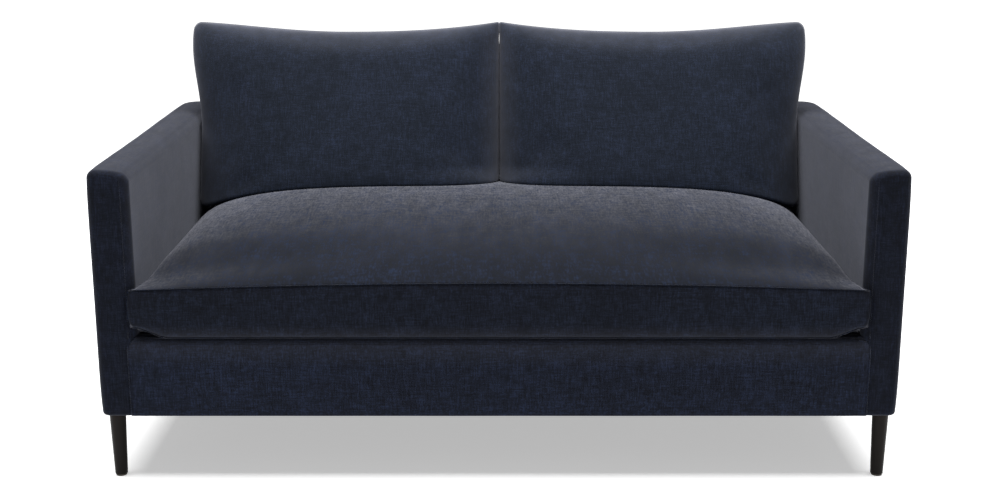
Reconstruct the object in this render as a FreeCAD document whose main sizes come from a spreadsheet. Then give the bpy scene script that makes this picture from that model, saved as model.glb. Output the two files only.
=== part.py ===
import FreeCAD, Part
import os
import Sketcher

# A two-seat sofa: a timber frame with wire springs, slim padded arms, four turned
# legs, one loose seat cushion and two loose back cushions. Millimetres, +Z up, the
# front faces -Y, and the origin is on the floor under the middle of the sofa.

document = FreeCAD.newDocument("sofa")
sheet = document.addObject("Spreadsheet::Sheet", "size")


class Length:
    """A number together with the sheet expression that gives it."""

    def __init__(self, value, text):
        self.value = value
        self.text = text

    def combined(self, other, sign, value):
        return Length(value, f"({self.text} {sign} {of(other).text})")

    def __add__(self, other):
        return self.combined(other, "+", self.value + of(other).value)

    def __sub__(self, other):
        return self.combined(other, "-", self.value - of(other).value)

    def __mul__(self, other):
        return self.combined(other, "*", self.value * of(other).value)

    def __truediv__(self, other):
        return self.combined(other, "/", self.value / of(other).value)

    def __neg__(self):
        return Length(-self.value, f"(-1 * {self.text})")


def of(number):
    """Give a plain number the same form as a named size."""
    return number if isinstance(number, Length) else Length(number, str(number))


rows = []


def named(alias, value):
    """Write one driving size in the sheet and return it as a Length."""
    rows.append(alias)
    row = len(rows)
    sheet.set(f"A{row}", alias.replace("_", " "))
    sheet.set(f"B{row}", str(value))
    sheet.setAlias(f"B{row}", alias)
    return Length(value, f"size.{alias}")


# ---- Driving sizes ---------------------------------------------------------------

overall_width = named("overall_width", 1650)
overall_depth = named("overall_depth", 965)
overall_height = named("overall_height", 880)
leg_height = named("leg_height", 139)
arm_height = named("arm_height", 657)
arm_width = named("arm_width", 78)
deck_height = named("deck_height", 308)
back_height = named("back_height", 785)
back_depth_low = named("back_depth_low", 140)
back_depth_top = named("back_depth_top", 88)
corner_radius = named("corner_radius", 62)
edge_radius = named("edge_radius", 14)

cover = named("cover_thickness", 1.5)
padding = named("padding_thickness", 12)
back_padding_depth = named("back_padding_depth", 25)
dust_cover_thickness = named("dust_cover_thickness", 1)
backing_thickness = named("backing_thickness", 4)

rail = named("rail_thickness", 25)
rail_drop = named("rail_drop", 24)
post_depth = named("post_depth", 50)
top_rail_height = named("top_rail_height", 35)
lower_rail_height = named("lower_rail_height", 90)
stretcher_width = named("stretcher_width", 60)
stretcher_height = named("stretcher_height", 70)
block_leg = named("block_leg", 60)
stile_width = named("stile_width", 45)
tack_rail_height = named("tack_rail_height", 40)

spring_wire = named("spring_wire", 3.6)
spring_width = named("spring_width", 50)
spring_bend = named("spring_bend_radius", 14)
clip_height = named("clip_height", 7)
clip_depth = named("clip_depth", 20)
clip_width = named("clip_width", 14)
web_width = named("web_width", 50)
web_thickness = named("web_thickness", 1.5)

leg_inset = named("leg_inset", 25)
rear_leg_inset = named("rear_leg_inset", 40)
leg_top_radius = named("leg_top_radius", 17)
leg_foot_radius = named("leg_foot_radius", 13)
glide_radius = named("glide_radius", 11)
glide_thickness = named("glide_thickness", 4)
stud_radius = named("stud_radius", 4)
stud_reach = named("stud_reach", 35)
insert_radius = named("insert_radius", 6)
insert_length = named("insert_length", 25)
bolt_radius = named("bolt_radius", 3)
bolt_head_radius = named("bolt_head_radius", 6.5)
bolt_head_height = named("bolt_head_height", 4)
bolt_end_cover = named("bolt_end_cover", 10)
bolt_edge = named("bolt_edge_distance", 16)
bore_clearance = named("bore_clearance", 0.05)

seat_edge_height = named("seat_edge_height", 112)
seat_crown = named("seat_crown_height", 186)
wrap_thickness = named("wrap_thickness", 20)
back_cushion_low_depth = named("back_cushion_low_depth", 215)
back_cushion_top_depth = named("back_cushion_top_depth", 60)
back_cushion_belly = named("back_cushion_belly", 235)
soft_gap = named("soft_gap", 0.3)
side_gap = named("side_gap", 1.5)

SPRING_COUNT = 12
BACK_WEB_COUNT = 8
BOLT_ROWS = 2
TOLERANCE_MM = 0.001
LEAST_ROUNDING_MM = 1
BELLY_LEVEL = 0.3
LEAN_BULGE_SHARE = 1 / 8
CROWN_BULGE_SHARE = 1 / 6

document.recompute()

# ---- Places worked out from the driving sizes ---------------------------------------

half_width = overall_width / 2
front = -overall_depth / 2
rear = overall_depth / 2
skin = cover + padding
arm_inner = half_width - arm_width
frame_outer = half_width - skin
frame_inner = arm_inner + skin
frame_front = front + skin
frame_rear = rear - skin
frame_low = leg_height + dust_cover_thickness
rail_top = deck_height - rail_drop
block_height = rail_top - frame_low - bolt_edge * 2 * BOLT_ROWS
pad_low = rail_top + clip_height
pad_top = deck_height - cover
back_half = arm_inner - side_gap
back_slope = (back_depth_low - back_depth_top) / (back_height - deck_height)
rear_rail_front = rear - cover - backing_thickness - rail
spring_rail_front = rear - back_depth_low + cover
seat_bottom = deck_height + soft_gap
seat_top = deck_height + seat_crown
back_cushion_bottom = seat_top + soft_gap


def back_face(height):
    """Where the front of the raked back lies, at a height above the floor."""
    return rear - back_depth_low + (height - deck_height) * back_slope


# ---- Helpers -------------------------------------------------------------------------

subparts = []


def finished(shape_object, label):
    """Mark a document object as one of the sofa's pieces."""
    shape_object.Label = label
    subparts.append(shape_object)
    return shape_object


def bind(target, sizes):
    """Bind each property of an object to its sheet expression."""
    for path, length in sizes.items():
        target.setExpression(path, of(length).text)


def bind_place(target, x, y, z):
    bind(target, {"Placement.Base.x": x, "Placement.Base.y": y, "Placement.Base.z": z})


def block(name, x, y, z):
    """A box between two positions on each axis; x, y and z are (low, high)."""
    box = document.addObject("Part::Box", name)
    bind(box, {"Length": x[1] - of(x[0]), "Width": y[1] - of(y[0]), "Height": z[1] - of(z[0])})
    bind_place(box, x[0], y[0], z[0])
    return box


def rod(name, radius, length, place, axis="z"):
    """A cylinder that starts at a place and runs along an axis."""
    turn = {"x": (0, 90, 0), "z": (0, 0, 0)}[axis]
    cylinder = document.addObject("Part::Cylinder", name)
    cylinder.Placement = FreeCAD.Placement(FreeCAD.Vector(), FreeCAD.Rotation(*turn))
    bind(cylinder, {"Radius": radius, "Height": length})
    bind_place(cylinder, *place)
    return cylinder


def raked(name, x, z, low, high):
    """A slab across the back: low and high give its (front, rear) at each height."""
    wedge = document.addObject("Part::Wedge", name)
    wedge.Placement = FreeCAD.Placement(FreeCAD.Vector(), FreeCAD.Rotation(0, 0, 90))
    bind(wedge, {"Ymin": 0, "Ymax": z[1] - of(z[0])})
    for end, faces in (("", low), ("2", high)):
        bind(wedge, {f"X{end}min": x[0], f"X{end}max": x[1]})
        bind(wedge, {f"Z{end}min": -of(faces[1]), f"Z{end}max": -of(faces[0])})
    bind_place(wedge, 0, 0, z[0])
    return wedge


def cut(name, base, tool):
    result = document.addObject("Part::Cut", name)
    result.Base = base
    result.Tool = tool
    return result


def common(name, base, tool):
    result = document.addObject("Part::Common", name)
    result.Base = base
    result.Tool = tool
    return result


def group(name, pieces):
    """Several separate solids kept together as one piece."""
    result = document.addObject("Part::Compound", name)
    result.Links = pieces
    return result


def mirror_of(source, name):
    copy = document.addObject("Part::Mirroring", name)
    copy.Source = source
    copy.Normal = FreeCAD.Vector(1, 0, 0)
    return copy


def mirrored(source, label):
    """The same piece on the other side of the sofa."""
    return finished(mirror_of(source, f"{label}_shape"), label)


def origin_plane(body, role):
    return [item for item in body.Origin.OriginFeatures if item.Role == role][0]


def sketch_on(body, name, role):
    """A sketch on one of the body's own origin planes."""
    sketch = body.newObject("Sketcher::SketchObject", name)
    sketch.AttachmentSupport = [(origin_plane(body, role), "")]
    sketch.MapMode = "FlatFace"
    return sketch


def pin_point(sketch, edge, end, point):
    """Hold a sketch point at a place given by two lengths from the origin."""
    for kind, length in zip(("DistanceX", "DistanceY"), point):
        if abs(length.value) < TOLERANCE_MM:
            on_axis = -2 if kind == "DistanceX" else -1
            sketch.addConstraint(Sketcher.Constraint("PointOnObject", edge, end, on_axis))
        else:
            index = sketch.addConstraint(Sketcher.Constraint(kind, -1, 1, edge, end, length.value))
            sketch.setExpression(f"Constraints[{index}]", length.text)


def arc_between(start, end, bulge):
    """An arc whose middle stands out to the right of the way from start to end."""
    middle = (start + end) / 2
    way = end - start
    out = FreeCAD.Vector(way.y, -way.x, 0).normalize() * bulge
    return Part.Arc(start, middle + out, end)


def outline(body, name, role, points, bulges=None):
    """A closed sketch through points; bulges gives the height of an edge that curves out."""
    sketch = sketch_on(body, name, role)
    bulges = bulges or {}
    points = [(of(x), of(y)) for x, y in points]
    corners = [FreeCAD.Vector(x.value, y.value, 0) for x, y in points]
    count = len(corners)
    for index, corner in enumerate(corners):
        following = corners[(index + 1) % count]
        if index in bulges:
            sketch.addGeometry(arc_between(corner, following, of(bulges[index]).value), False)
        else:
            sketch.addGeometry(Part.LineSegment(corner, following), False)
    ends = [arc_ends(sketch, index, corner) for index, corner in enumerate(corners)]
    for index in range(count):
        following = (index + 1) % count
        sketch.addConstraint(
            Sketcher.Constraint("Coincident", index, ends[index][1], following, ends[following][0])
        )
        pin_point(sketch, index, ends[index][0], points[index])
    for index, bulge in bulges.items():
        bind_bulge(sketch, index, points[index], points[(index + 1) % count], of(bulge))
    return sketch


def arc_ends(sketch, index, corner):
    """Which end of an edge, 1 or 2, starts at a corner; the other ends it."""
    starts_here = (sketch.getPoint(index, 1) - corner).Length < TOLERANCE_MM
    return (1, 2) if starts_here else (2, 1)


def bind_bulge(sketch, index, start, end, bulge):
    """Radius of an arc from its chord and the height that it stands out."""
    across = end[0] - start[0]
    along = end[1] - start[1]
    radius = (across * across + along * along) / (bulge * 8) + bulge / 2
    constraint = sketch.addConstraint(Sketcher.Constraint("Radius", index, radius.value))
    sketch.setExpression(f"Constraints[{constraint}]", radius.text)


def new_body(name):
    return document.addObject("PartDesign::Body", name)


def pad(body, sketch, length, middle=False):
    """Give a sketch its thickness, to one side or evenly to both."""
    feature = body.newObject("PartDesign::Pad", f"{sketch.Name}_pad")
    feature.Profile = sketch
    feature.Midplane = middle
    feature.setExpression("Length", of(length).text)
    sketch.Visibility = False
    document.recompute()
    return feature


def fillet(body, base, radius, wanted):
    """Round the edges of a feature that a test picks."""
    names = [f"Edge{number}" for number, edge in enumerate(base.Shape.Edges, 1) if wanted(edge)]
    feature = body.newObject("PartDesign::Fillet", f"{base.Name}_round")
    feature.Base = (base, names)
    feature.setExpression("Radius", of(radius).text)
    document.recompute()
    return feature


def extruded_across(name, points, half_length, bulges=None):
    """A profile in Y and Z, given an even thickness about the middle along X."""
    body = new_body(name)
    sketch = outline(body, f"{name}_profile", "YZ_Plane", points, bulges)
    pad(body, sketch, half_length * 2, middle=True)
    return body


# ---- Legs ------------------------------------------------------------------------------


def leg(label, x, y):
    """A tapered turned leg with a blind bore in its top for the stud."""
    body = new_body(f"{label}_body")
    bore = stud_radius + bore_clearance
    points = [
        (0, glide_thickness),
        (leg_foot_radius, glide_thickness),
        (leg_top_radius, leg_height),
        (bore, leg_height),
        (bore, leg_height - stud_reach),
        (0, leg_height - stud_reach),
    ]
    sketch = outline(body, f"{label}_profile", "XZ_Plane", points)
    turned = body.newObject("PartDesign::Revolution", f"{label}_turned")
    turned.Profile = sketch
    turned.ReferenceAxis = (sketch, ["V_Axis"])
    turned.Angle = 360
    bind_place(body, x, y, 0)
    return finished(body, label)


def leg_places():
    """Name and centre of each of the four legs."""
    side = half_width - leg_inset
    rear_side = half_width - rear_leg_inset
    return [
        ("front_left", -side, front + leg_inset),
        ("front_right", side, front + leg_inset),
        ("rear_left", -rear_side, rear - rear_leg_inset),
        ("rear_right", rear_side, rear - rear_leg_inset),
    ]


def legs():
    studs = []
    inserts = []
    for name, x, y in leg_places():
        leg(f"leg_{name}", x, y)
        glide = rod(f"glide_{name}", glide_radius, glide_thickness, (x, y, 0))
        finished(glide, f"leg_glide_{name}")
        start = leg_height - stud_reach
        studs.append(rod(f"stud_{name}", stud_radius, stud_reach + insert_length, (x, y, start)))
        tube = rod(f"insert_{name}", insert_radius, insert_length, (x, y, frame_low))
        hole_radius = stud_radius + bore_clearance
        hole = rod(f"insert_{name}_hole", hole_radius, insert_length, (x, y, frame_low))
        inserts.append(cut(f"insert_{name}_tube", tube, hole))
    finished(group("studs", studs), "hanger_bolts")
    finished(group("inserts", inserts), "leg_inserts")


# ---- Seat frame ---------------------------------------------------------------------------


def bolt_levels():
    """Heights of the two rows of bolts through a side rail, above the corner blocks."""
    return [frame_low + block_height + bolt_edge, rail_top - bolt_edge]


def bolt_places():
    """Where the bolts join the side rails to the arm posts: name, y and z."""
    front_post = frame_front + rail + bolt_edge
    rear_post = frame_rear - post_depth / 2
    places = []
    for end, y in (("front", front_post), ("rear", rear_post)):
        for level, z in enumerate(bolt_levels()):
            places.append((f"{end}_{level}", y, z))
    return places


def bolt_holes(side):
    """The bores that the frame bolts pass through, on one side of the sofa."""
    start = frame_inner - rail
    holes = []
    for name, y, z in bolt_places():
        length = frame_outer - bolt_end_cover - start
        place = (start, y, z)
        holes.append(rod(f"bore_{side}_{name}", bolt_radius + bore_clearance, length, place, "x"))
    return group(f"bores_{side}", holes)


def frame_bolts():
    """Bolts with round heads against the inside of each side rail."""
    start = frame_inner - rail
    bolts = []
    for name, y, z in bolt_places():
        length = frame_outer - bolt_end_cover - start
        shank = rod(f"shank_{name}", bolt_radius, length, (start, y, z), "x")
        head_place = (start - bolt_head_height, y, z)
        head = rod(f"head_{name}", bolt_head_radius, bolt_head_height, head_place, "x")
        whole = document.addObject("Part::Fuse", f"bolt_{name}")
        whole.Base = shank
        whole.Tool = head
        bolts.append(whole)
    one_side = group("bolts_right", bolts)
    finished(group("bolts", [one_side, mirror_of(one_side, "bolts_left")]), "frame_bolts")


def seat_frame():
    """Rails, stretcher and corner blocks that carry the springs."""
    across = (-frame_inner, frame_inner)
    inner_across = (-frame_inner + rail, frame_inner - rail)
    height = (frame_low, rail_top)
    front_y = (frame_front, frame_front + rail)
    spring_y = (spring_rail_front, spring_rail_front + rail)
    finished(block("front_rail_shape", across, front_y, height), "front_rail")
    finished(block("spring_rail_shape", inner_across, spring_y, height), "back_spring_rail")
    side_x = (frame_inner - rail, frame_inner)
    side_y = (frame_front + rail, frame_rear)
    board = block("side_board", side_x, side_y, height)
    side = finished(cut("side_board_bored", board, bolt_holes("rail")), "side_rail_right")
    mirrored(side, "side_rail_left")
    low_y = (rear_rail_front, frame_rear)
    low_z = (frame_low, frame_low + lower_rail_height)
    finished(block("rear_rail_shape", inner_across, low_y, low_z), "rear_bottom_rail")
    half = stretcher_width / 2
    stretcher_y = (frame_front + rail, spring_rail_front)
    stretcher_z = (frame_low, frame_low + stretcher_height)
    finished(block("stretcher", (-half, half), stretcher_y, stretcher_z), "centre_stretcher")
    corner_blocks()


def corner_blocks():
    """Three-sided blocks glued into the inner corners of the seat frame."""
    corner_x = frame_inner - rail
    for end, y, way in (("front", frame_front + rail, 1), ("rear", spring_rail_front, -1)):
        body = new_body(f"corner_block_{end}_body")
        points = [(corner_x, y), (corner_x, y + block_leg * way), (corner_x - block_leg, y)]
        sketch = outline(body, f"corner_block_{end}_profile", "XY_Plane", points)
        pad(body, sketch, block_height)
        bind_place(body, 0, 0, frame_low)
        right = finished(body, f"corner_block_{end}_right")
        mirrored(right, f"corner_block_{end}_left")


# ---- Springs and webbing ---------------------------------------------------------------------


def spring_spine(middle, start, end, height):
    """A wire line of straight runs joined by half-round bends, from front to rear."""
    bend = spring_bend.value
    reach = spring_width.value / 2 - bend
    count = int((end - start) / (2 * bend))
    step = (end - start) / count
    edges = []
    for run in range(count + 1):
        y = start + run * step
        side = 1 if run % 2 else -1
        first = FreeCAD.Vector(middle - side * reach, y, height)
        last = FreeCAD.Vector(middle + side * reach, y, height)
        edges.append(Part.LineSegment(first, last).toShape())
        if run < count:
            top = FreeCAD.Vector(middle + side * (reach + step / 2), y + step / 2, height)
            after = FreeCAD.Vector(middle + side * reach, y + step, height)
            edges.append(Part.Arc(last, top, after).toShape())
    return Part.Wire(edges)


def spring_shape(middle, start, end, height):
    """One bent wire; a sweep keeps its section round along the whole line."""
    spine = spring_spine(middle, start, end, height)
    first = spine.Vertexes[0].Point
    ring = Part.Circle(first, FreeCAD.Vector(1, 0, 0), spring_wire.value / 2)
    section = Part.Wire([ring.toShape()])
    return spine.makePipeShell([section], True, False)


def spring_middles():
    """The middle line of each spring across the seat."""
    pitch = (frame_inner - rail) * 2 / SPRING_COUNT
    return [pitch * (index + 0.5 - SPRING_COUNT / 2) for index in range(SPRING_COUNT)]


def spring_level():
    return rail_top + clip_height / 2


def seat_springs():
    """Two sets of wire springs, left and right of the middle."""
    start = (frame_front + rail / 2).value
    end = (spring_rail_front + rail / 2).value
    height = spring_level().value
    middles = [middle.value for middle in spring_middles()]
    half = SPRING_COUNT // 2
    for label, chosen in (("left", middles[:half]), ("right", middles[half:])):
        springs = [spring_shape(middle, start, end, height) for middle in chosen]
        feature = document.addObject("Part::Feature", f"springs_{label}")
        feature.Shape = Part.makeCompound(springs)
        finished(feature, f"seat_springs_{label}")


def spring_clips():
    """A small clip over each end of each spring, on top of the rail."""
    clips = []
    slot_radius = spring_wire / 2 + bore_clearance
    for index, middle in enumerate(spring_middles()):
        for end, y in (("front", frame_front + rail / 2), ("rear", spring_rail_front + rail / 2)):
            x = (middle - clip_width / 2, middle + clip_width / 2)
            clip_y = (y - clip_depth / 2, y + clip_depth / 2)
            name = f"clip_{end}_{index}"
            body = block(name, x, clip_y, (rail_top, pad_low))
            slot = rod(f"{name}_slot", slot_radius, clip_width, (x[0], y, spring_level()), "x")
            clips.append(cut(f"{name}_bent", body, slot))
    finished(group("clips", clips), "spring_clips")


def back_webbing():
    """Stretched straps up the back, behind its padding."""
    straps = []
    low = pad_low
    high = back_height - skin
    behind = cover + back_padding_depth
    pitch = (back_half * 2) / BACK_WEB_COUNT
    for index in range(BACK_WEB_COUNT):
        middle = pitch * (index + 0.5 - BACK_WEB_COUNT / 2)
        x = (middle - web_width / 2, middle + web_width / 2)
        ends = [(back_face(z) + behind, back_face(z) + behind + web_thickness) for z in (low, high)]
        straps.append(raked(f"web_{index}", x, (low, high), *ends))
    finished(group("webs", straps), "back_webbing")


# ---- Arm frames --------------------------------------------------------------------------------


def insert_hole(end, x, y):
    """The bore in a post's foot that takes a threaded insert."""
    radius = insert_radius + bore_clearance
    return rod(f"insert_bore_{end}", radius, insert_length, (x, y, frame_low))


def arm_envelope(name, inset, low, high, rounding=None):
    """The arm's outer form, drawn in by an inset, with its rear outer corner rounded."""
    inner = arm_inner + inset
    outer = half_width - inset
    near = front + inset
    far = rear - inset
    body = new_body(name)
    corners = [(inner, near), (outer, near), (outer, far), (inner, far)]
    sketch = outline(body, f"{name}_plan", "XY_Plane", corners)
    base = pad(body, sketch, high - of(low))
    corner = fillet(body, base, corner_radius - inset, is_rear_outer_corner)
    if rounding is not None:
        fillet(body, corner, rounding, is_top_edge)
    bind_place(body, 0, 0, low)
    return body


def is_rear_outer_corner(edge):
    """True for the upright edge that stands furthest out and furthest back."""
    box = edge.BoundBox
    upright = box.ZLength > box.XLength + box.YLength
    return upright and box.YMin > 0 and box.XMin > (arm_inner + frame_outer).value / 2


def is_top_edge(edge):
    box = edge.BoundBox
    return box.ZLength < TOLERANCE_MM and box.ZMin > TOLERANCE_MM


def arm_frame():
    """Front and rear posts with a rail across their tops, on one side."""
    x = (frame_inner, frame_outer)
    top = arm_height - skin
    post_top = top - top_rail_height
    bores = bolt_holes("post")
    inserts = {
        "front": (half_width - leg_inset, front + leg_inset),
        "rear": (half_width - rear_leg_inset, rear - rear_leg_inset),
    }
    front_y = (frame_front, frame_front + post_depth)
    front_post = block("front_post_board", x, front_y, (frame_low, post_top))
    envelope = arm_envelope("post_envelope", skin, frame_low, post_top)
    rear_y = (frame_rear - post_depth, frame_rear)
    rear_board = block("rear_post_board", x, rear_y, (frame_low, post_top))
    rear_post = common("rear_post_rounded", envelope, rear_board)
    for end, post in (("front", front_post), ("rear", rear_post)):
        bored = cut(f"{end}_post_bored", post, bores)
        whole = cut(f"{end}_post_with_insert", bored, insert_hole(end, *inserts[end]))
        right = finished(whole, f"arm_{end}_post_right")
        mirrored(right, f"arm_{end}_post_left")
    rail_body = arm_envelope("arm_top_rail_shape", skin, post_top, top)
    right = finished(rail_body, "arm_top_rail_right")
    mirrored(right, "arm_top_rail_left")


def arm_layer(name, outer_inset, inner_inset, low):
    """One wrapped layer of the arm: a shell, open below and beside the seat frame."""
    outer_form = arm_envelope(
        f"{name}_outside", outer_inset, low, arm_height - outer_inset, edge_radius - outer_inset
    )
    rounding = edge_radius - inner_inset
    if rounding.value <= LEAST_ROUNDING_MM:
        rounding = None
    hollow = arm_envelope(f"{name}_hollow", inner_inset, low, arm_height - inner_inset, rounding)
    shell = cut(f"{name}_shell", outer_form, hollow)
    beside_x = (arm_inner, frame_inner)
    beside_y = (front + skin, rear)
    beside = block(f"{name}_beside_seat", beside_x, beside_y, (leg_height, rail_top))
    return cut(f"{name}_wrapped", shell, beside)


def arm_upholstery():
    """Foam and fabric over each arm frame."""
    foam = finished(arm_layer("arm_foam", cover, skin, frame_low), "arm_padding_right")
    mirrored(foam, "arm_padding_left")
    fabric = finished(arm_layer("arm_fabric", of(0), cover, leg_height), "arm_cover_right")
    mirrored(fabric, "arm_cover_left")


# ---- Back frame -----------------------------------------------------------------------------------


def back_frame():
    """Raked posts and a stile between two rails, closed behind by a board."""
    behind = cover + back_padding_depth + web_thickness
    top = back_height - skin
    post_top = top - top_rail_height
    back_plane = rear - cover - backing_thickness
    stile_low = frame_low + lower_rail_height
    tack_top = rail_top + tack_rail_height
    levels = (rail_top, tack_top, post_top, top)
    slab_faces = [(back_face(z) + behind, back_plane) for z in levels]
    for label, x in (
        ("back_post_left", (-back_half, -back_half + stile_width)),
        ("back_centre_stile", (-stile_width / 2, stile_width / 2)),
        ("back_post_right", (back_half - stile_width, back_half)),
    ):
        finished(raked(f"{label}_shape", x, (tack_top, post_top), *slab_faces[1:3]), label)
    across = (-back_half, back_half)
    tack_rail = raked("back_tack_rail_shape", across, (rail_top, tack_top), *slab_faces[:2])
    finished(tack_rail, "back_tack_rail")
    finished(raked("back_top_rail_shape", across, (post_top, top), *slab_faces[2:]), "back_top_rail")
    prop_x = (-stile_width / 2, stile_width / 2)
    prop = block("stile_foot", prop_x, (rear_rail_front, frame_rear), (stile_low, rail_top))
    finished(prop, "back_stile_foot")
    board = block("backing", across, (back_plane, rear - cover), (rail_top, top))
    finished(board, "back_board")


def back_upholstery():
    """Foam on the raked face, then the inside cover over the top, and the outside cover."""
    across = (-back_half, back_half)
    top = back_height - cover
    foam_fronts = [back_face(z) + cover for z in (pad_low, top)]
    foam_faces = [(face, face + back_padding_depth) for face in foam_fronts]
    finished(raked("back_foam", across, (pad_low, top), *foam_faces), "back_padding")
    roll_front = back_face(back_height) + cover + back_padding_depth
    roll_y = (roll_front + edge_radius, rear - cover)
    roll = block("top_foam", across, roll_y, (back_height - skin, top))
    finished(roll, "back_top_padding")
    wrap = inside_back_profile(pad_low, of(0))
    outer = extruded_across("inside_back_outer", wrap, back_half)
    inner = extruded_across("inside_back_inner", inside_back_profile(pad_low, cover), back_half)
    finished(cut("inside_back_sheet", outer, inner), "inside_back_cover")
    outside = block("outside_back", across, (rear - cover, rear), (leg_height, back_height - cover))
    finished(outside, "outside_back_cover")
    side_faces = [(back_face(z), rear) for z in (pad_low, back_height)]
    side = raked("back_side_sheet", (back_half, arm_inner), (pad_low, back_height), *side_faces)
    finished(side, "back_side_cover_right")
    mirrored(side, "back_side_cover_left")


def inside_back_profile(low, inset):
    """Front face and top of the back, drawn in by an inset, closed at the rear."""
    top = back_height - inset
    return [
        (back_face(low) + inset, low),
        (rear, low),
        (rear, top),
        (back_face(top) + inset, top),
    ]


# ---- Deck, front border and underside ------------------------------------------------------------------


def front_profile(inset, inner):
    """A strip down the front that turns back over the rail, from inset to inner."""
    over = frame_front + rail
    return [
        (front + inset, frame_low if inset.value else leg_height),
        (front + inner, frame_low if inset.value else leg_height),
        (front + inner, deck_height - inner if inset.value == 0 else pad_low),
        (over, deck_height - inner if inset.value == 0 else pad_low),
        (over, deck_height - inset),
        (front + inset, deck_height - inset),
    ]


def front_border():
    """Foam and fabric on the front rail."""
    for label, inset, inner in (("front_padding", cover, skin), ("front_cover", of(0), cover)):
        body = new_body(f"{label}_body")
        sketch = outline(body, f"{label}_profile", "YZ_Plane", front_profile(inset, inner))
        strip = pad(body, sketch, arm_inner * 2, middle=True)
        rounded = fillet(body, strip, edge_radius - inset, front_top_edge_at(deck_height - inset))
        if label == "front_cover":
            fillet(body, rounded, edge_radius - inner, front_top_edge_at(deck_height - inner))
        finished(body, label)


def front_top_edge_at(height):
    """A test for the long edge at one height where the front turns over onto the rail."""

    def wanted(edge):
        box = edge.BoundBox
        long_enough = box.XLength > arm_inner.value
        at_front = box.YMax < frame_front.value
        return long_enough and at_front and abs(box.ZMax - height.value) < TOLERANCE_MM

    return wanted


def deck():
    """Felt over the springs and the cloth that the seat cushion lies on."""
    across = (-arm_inner, arm_inner)
    deck_y = (frame_front + rail, back_face(pad_low))
    finished(block("felt", across, deck_y, (pad_low, pad_top)), "deck_pad")
    finished(block("cloth", across, deck_y, (pad_top, deck_height)), "deck_cover")


def dust_cover():
    """The thin cloth under the frame, with a hole for each leg's stud."""
    holes = []
    for name, x, y in leg_places():
        place = (x, y, leg_height)
        holes.append(rod(f"dust_hole_{name}", insert_radius, dust_cover_thickness, place))
    finished(cut("dust_sheet_pierced", dust_cover_plan(), group("dust_holes", holes)), "dust_cover")


def dust_cover_plan():
    """The plan from the front rail back, with both rear corners rounded like the arms."""
    inset = cover + soft_gap
    side = half_width - inset
    near = front + skin + soft_gap
    far = rear - inset
    body = new_body("dust_plan")
    corners = [(-side, near), (side, near), (side, far), (-side, far)]
    base = pad(body, outline(body, "dust_plan_outline", "XY_Plane", corners), dust_cover_thickness)
    fillet(body, base, corner_radius - inset, is_rear_upright)
    bind_place(body, 0, 0, leg_height)
    return body


def is_rear_upright(edge):
    box = edge.BoundBox
    return box.YMin > 0 and box.YLength < TOLERANCE_MM and box.XLength < TOLERANCE_MM


# ---- Loose cushions ---------------------------------------------------------------------------------------


def seat_form(name, inset):
    """The bench cushion: crowned from side to side and rising towards its middle."""
    half = arm_inner - side_gap - inset
    near = front + side_gap + inset
    far = back_face(deck_height) - side_gap - inset
    low = seat_bottom + inset
    edge = deck_height + seat_edge_height - inset
    crown = seat_top - edge - inset
    across_body = new_body(f"{name}_across")
    across_points = [(-half, low), (half, low), (half, edge), (-half, edge)]
    across_sketch = outline(across_body, f"{name}_front_view", "XZ_Plane", across_points, {2: crown})
    pad(across_body, across_sketch, overall_depth * 2, middle=True)
    flat_from = (near + far) / 2
    top = seat_top - inset
    along_points = [(near, low), (far, low), (far, top), (flat_from, top), (near, edge)]
    along = extruded_across(f"{name}_along", along_points, half, {3: crown * CROWN_BULGE_SHARE})
    return common(f"{name}_form", along, across_body)


def seat_cushion():
    """Foam block, fibre wrap and fabric cover of the loose seat."""
    fabric_outer = seat_form("seat_fabric", of(0))
    wrap_outer = seat_form("seat_wrap", cover)
    core = seat_form("seat_core", cover + wrap_thickness)
    finished(cut("seat_fabric_shell", fabric_outer, wrap_outer), "seat_cushion_cover")
    finished(cut("seat_wrap_shell", wrap_outer, core), "seat_cushion_wrap")
    finished(core, "seat_cushion_foam")


def back_cushion_form(name, inset):
    """One back cushion: a leaning pillow, thickest low down, narrow at its top."""
    low = back_cushion_bottom + inset
    high = overall_height - inset
    rest_top = back_height - edge_radius
    rear_low = back_face(back_cushion_bottom) - side_gap - inset
    rear_high = back_face(rest_top) - side_gap - inset
    front_low = back_face(back_cushion_bottom) - back_cushion_low_depth + inset
    front_high = back_face(rest_top) - back_cushion_top_depth - side_gap + inset
    middle = low + (high - low) * BELLY_LEVEL
    belly = back_face(middle) - back_cushion_belly + inset
    points = [
        (front_low, low),
        (rear_low, low),
        (rear_high, rest_top),
        (rear_high, high),
        (front_high, high),
        (belly, middle),
    ]
    body = new_body(f"{name}_body")
    lean = (front_high - belly) * LEAN_BULGE_SHARE
    sketch = outline(body, f"{name}_profile", "YZ_Plane", points, {4: lean})
    pad(body, sketch, arm_inner - side_gap - soft_gap - inset * 2)
    bind_place(body, soft_gap + inset, 0, 0)
    return body


def back_cushions():
    """Filling and cover of the two loose back cushions."""
    fabric_outer = back_cushion_form("back_fabric", of(0))
    filling = back_cushion_form("back_filling", cover)
    shell = finished(cut("back_fabric_shell", fabric_outer, filling), "back_cushion_cover_right")
    stuffing = finished(filling, "back_cushion_filling_right")
    mirrored(shell, "back_cushion_cover_left")
    mirrored(stuffing, "back_cushion_filling_left")


# ---- The whole sofa -------------------------------------------------------------------------------------------


def build():
    legs()
    seat_frame()
    frame_bolts()
    seat_springs()
    spring_clips()
    arm_frame()
    arm_upholstery()
    back_frame()
    back_webbing()
    back_upholstery()
    front_border()
    deck()
    dust_cover()
    seat_cushion()
    back_cushions()


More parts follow.
